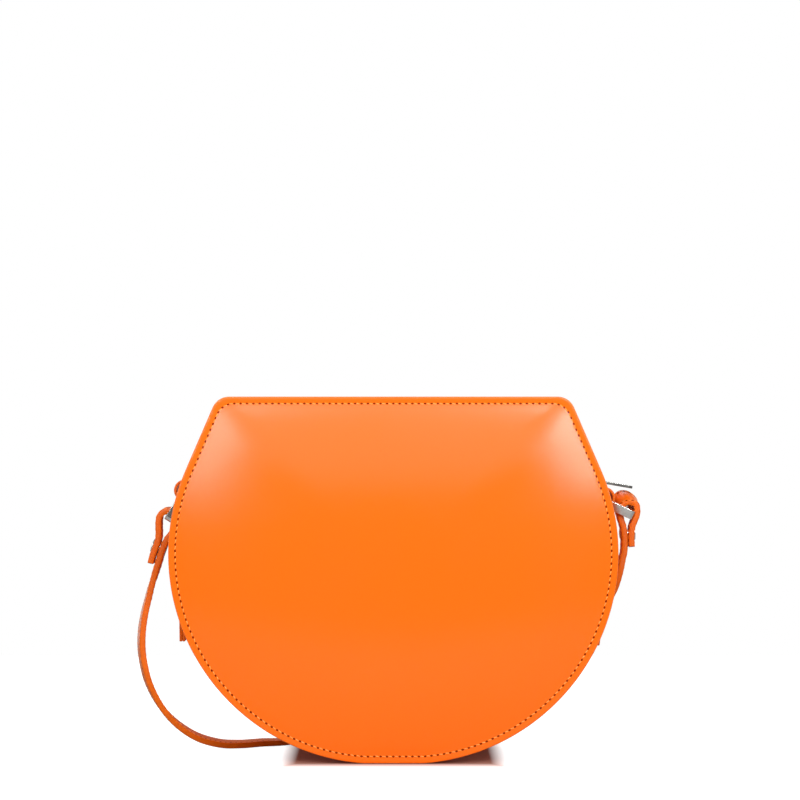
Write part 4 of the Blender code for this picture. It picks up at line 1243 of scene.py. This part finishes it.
def set_stud(piece, place, node):
    """Stand a turned piece on the stud's axis and finish it."""
    centre, tilt = STUD_PLACES[place]
    outward = Vector((math.cos(tilt), 0, math.sin(tilt)))
    turn = outward.to_track_quat("Z", "Y").to_matrix().to_4x4()
    piece.data.transform(Matrix.Translation(centre) @ turn)
    select_only(piece)
    bpy.ops.object.shade_smooth_by_angle(angle=math.radians(35))
    piece.data.materials.append(NICKEL)
    fit(piece, place + "_ring", node)


for place in ("left", "right"):
    head = turned_piece("stud_head_" + place, head_profile())
    set_stud(head, place, "strap_stud_" + place)
    cap = turned_piece("stud_cap_" + place, cap_profile())
    cut_slot(cap)
    set_stud(cap, place, "strap_stud_cap_" + place)


# Stiffening boards and lining. Grey board fills out each panel, and beige cotton covers it and the
# gusset; a slip pocket is sewn inside the back. They keep the shapes that they were cut to.
BOARD_TONES = (0.42, 0.39, 0.34), (0.33, 0.30, 0.26)
BOARD = plain_finish("grey_board", *BOARD_TONES, 0.9, 900, 0.00008)
LINING_TONES = (0.58, 0.49, 0.37), (0.36, 0.29, 0.20)
LINING = cloth("lining_cloth_beige", *LINING_TONES, 7000)
for finish, nodes in (
    (BOARD, ("front_board", "back_board")),
    (LINING, ("front_lining", "back_lining", "gusset_lining", "slip_pocket")),
):
    for node in nodes:
        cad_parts[node].material_slots[0].material = finish


# Floor, backdrop and lamps. A white sweep with soft boxes at both sides and above, as in a small
# product studio. The sweep turns white for the camera only, away from the bag's foot; under the bag
# it keeps the bag's own shadow, darkened and warmed by a painted shadow and glow in its colour.
SHADOW_HALF_WIDTH = (0.0455, 0.0535)
SHADOW_HALF_DEPTH = (0.036, 0.052)
PAINTED_SHADOW_GLOW_TINT = (0.42, 0.21, 0.16, 1)
PAPER_TINT = (0.38, 0.38, 0.38, 1)


def studio_white_painted_shadow(name):
    """White paper whose colour under the bag is a painted dark orange shadow and warm glow from the
    leather, over the shadow that the bag casts.
    """
    material, tree, shader, place = new_finish(name)
    tree.nodes.remove(shader)
    output = tree.nodes["Material Output"]
    paper = tree.nodes.new("ShaderNodeBsdfDiffuse")
    lift = tree.nodes.new("ShaderNodeEmission")
    rays = tree.nodes.new("ShaderNodeLightPath")
    parts = tree.nodes.new("ShaderNodeSeparateXYZ")
    tree.links.new(place, parts.inputs[0])
    sideways = ranged(tree, math_node(tree, "ABSOLUTE", parts.outputs[0], 0), *SHADOW_HALF_WIDTH)
    deep = ranged(tree, math_node(tree, "ABSOLUTE", parts.outputs[1], 0), *SHADOW_HALF_DEPTH)
    away = math_node(tree, "MAXIMUM", sideways, deep)
    # Under the bag the paper's colour is a painted dark orange shadow with a painted warm glow from
    # the leather.
    painted_shadow_mix = mix_colour(tree, ranged(tree, away, 0.5, 1), PAINTED_SHADOW_GLOW_TINT, PAPER_TINT)
    tree.links.new(painted_shadow_mix, paper.inputs["Color"])
    white = math_node(tree, "MULTIPLY", rays.outputs["Is Camera Ray"], away)
    tree.links.new(white, lift.inputs["Strength"])
    both = tree.nodes.new("ShaderNodeAddShader")
    tree.links.new(paper.outputs[0], both.inputs[0])
    tree.links.new(lift.outputs[0], both.inputs[1])
    tree.links.new(both.outputs[0], output.inputs["Surface"])
    return material


bpy.ops.mesh.primitive_plane_add(size=1.1, location=(0, 0, -0.0002))
sweep = bpy.context.object
sweep.name = "studio_sweep"
bpy.ops.object.transform_apply(location=True, rotation=True, scale=True)
sweep.data.materials.append(studio_white_painted_shadow("studio_white_painted_shadow"))

world = bpy.data.worlds.new("studio_air")
bpy.context.scene.world = world
world.use_nodes = True
air = world.node_tree
air.nodes.clear()
sky = air.nodes.new("ShaderNodeBackground")
sky.inputs["Color"].default_value = (1, 1, 1, 1)
rays = air.nodes.new("ShaderNodeLightPath")
AIR_LIGHT = 0.12
seen = [rays.outputs[label] for label in ("Is Camera Ray", "Is Transmission Ray")]
lifted = math_node(air, "MULTIPLY", math_node(air, "MAXIMUM", *seen), 1 - AIR_LIGHT)
air.links.new(math_node(air, "ADD", AIR_LIGHT, lifted), sky.inputs["Strength"])
air_out = air.nodes.new("ShaderNodeOutputWorld")
air.links.new(sky.outputs[0], air_out.inputs["Surface"])


def soft_box(name, place, height, size, watts):
    """Rectangular soft box that faces the point at a height above the bag's foot."""
    bpy.ops.object.light_add(type="AREA", location=place)
    lamp = bpy.context.object
    lamp.name = "soft_box_" + name
    lamp.data.shape = "RECTANGLE"
    lamp.data.size, lamp.data.size_y = size
    lamp.data.energy = watts
    lamp.visible_camera = False
    aim = (Vector((0, 0, height)) - Vector(place)).to_track_quat("-Z", "Y")
    lamp.rotation_euler = aim.to_euler()


for box in (
    ("left", (-0.39, -1.20, 0.37), 0.12, (0.18, 0.36), 1.7),
    ("right", (0.39, -1.20, 0.40), 0.12, (0.18, 0.40), 3.0),
    ("corner_left", (-0.24, -1.20, 0.64), 0.12, (0.24, 0.26), 1.8),
    ("corner_right", (0.24, -1.20, 0.65), 0.12, (0.24, 0.28), 3.4),
    ("above", (0, -1.30, 0.46), 0.12, (1.1, 0.52), 2.2),
    ("top", (0, -0.40, 0.46), 0.08, (0.7, 0.35), 2.0),
    ("side_left", (-1.2, 0.1, 0.5), 0.08, (0.8, 0.7), 3.4),
    ("side_right", (1.2, 0.1, 0.5), 0.08, (0.8, 0.7), 3.0),
    ("back", (0, 0.95, 1.45), 0.05, (0.8, 0.6), 7),
    ("far_left", (-1.0, 1.30, 0.35), 0.08, (1.2, 0.9), 3.4),
    ("far_right", (1.0, 1.30, 0.35), 0.08, (1.2, 0.9), 3.4),
):
    soft_box(*box)
bpy.context.scene.view_settings.view_transform = "Standard"

for model in (STITCH, HOLE):
    bpy.data.objects.remove(model, do_unlink=True)
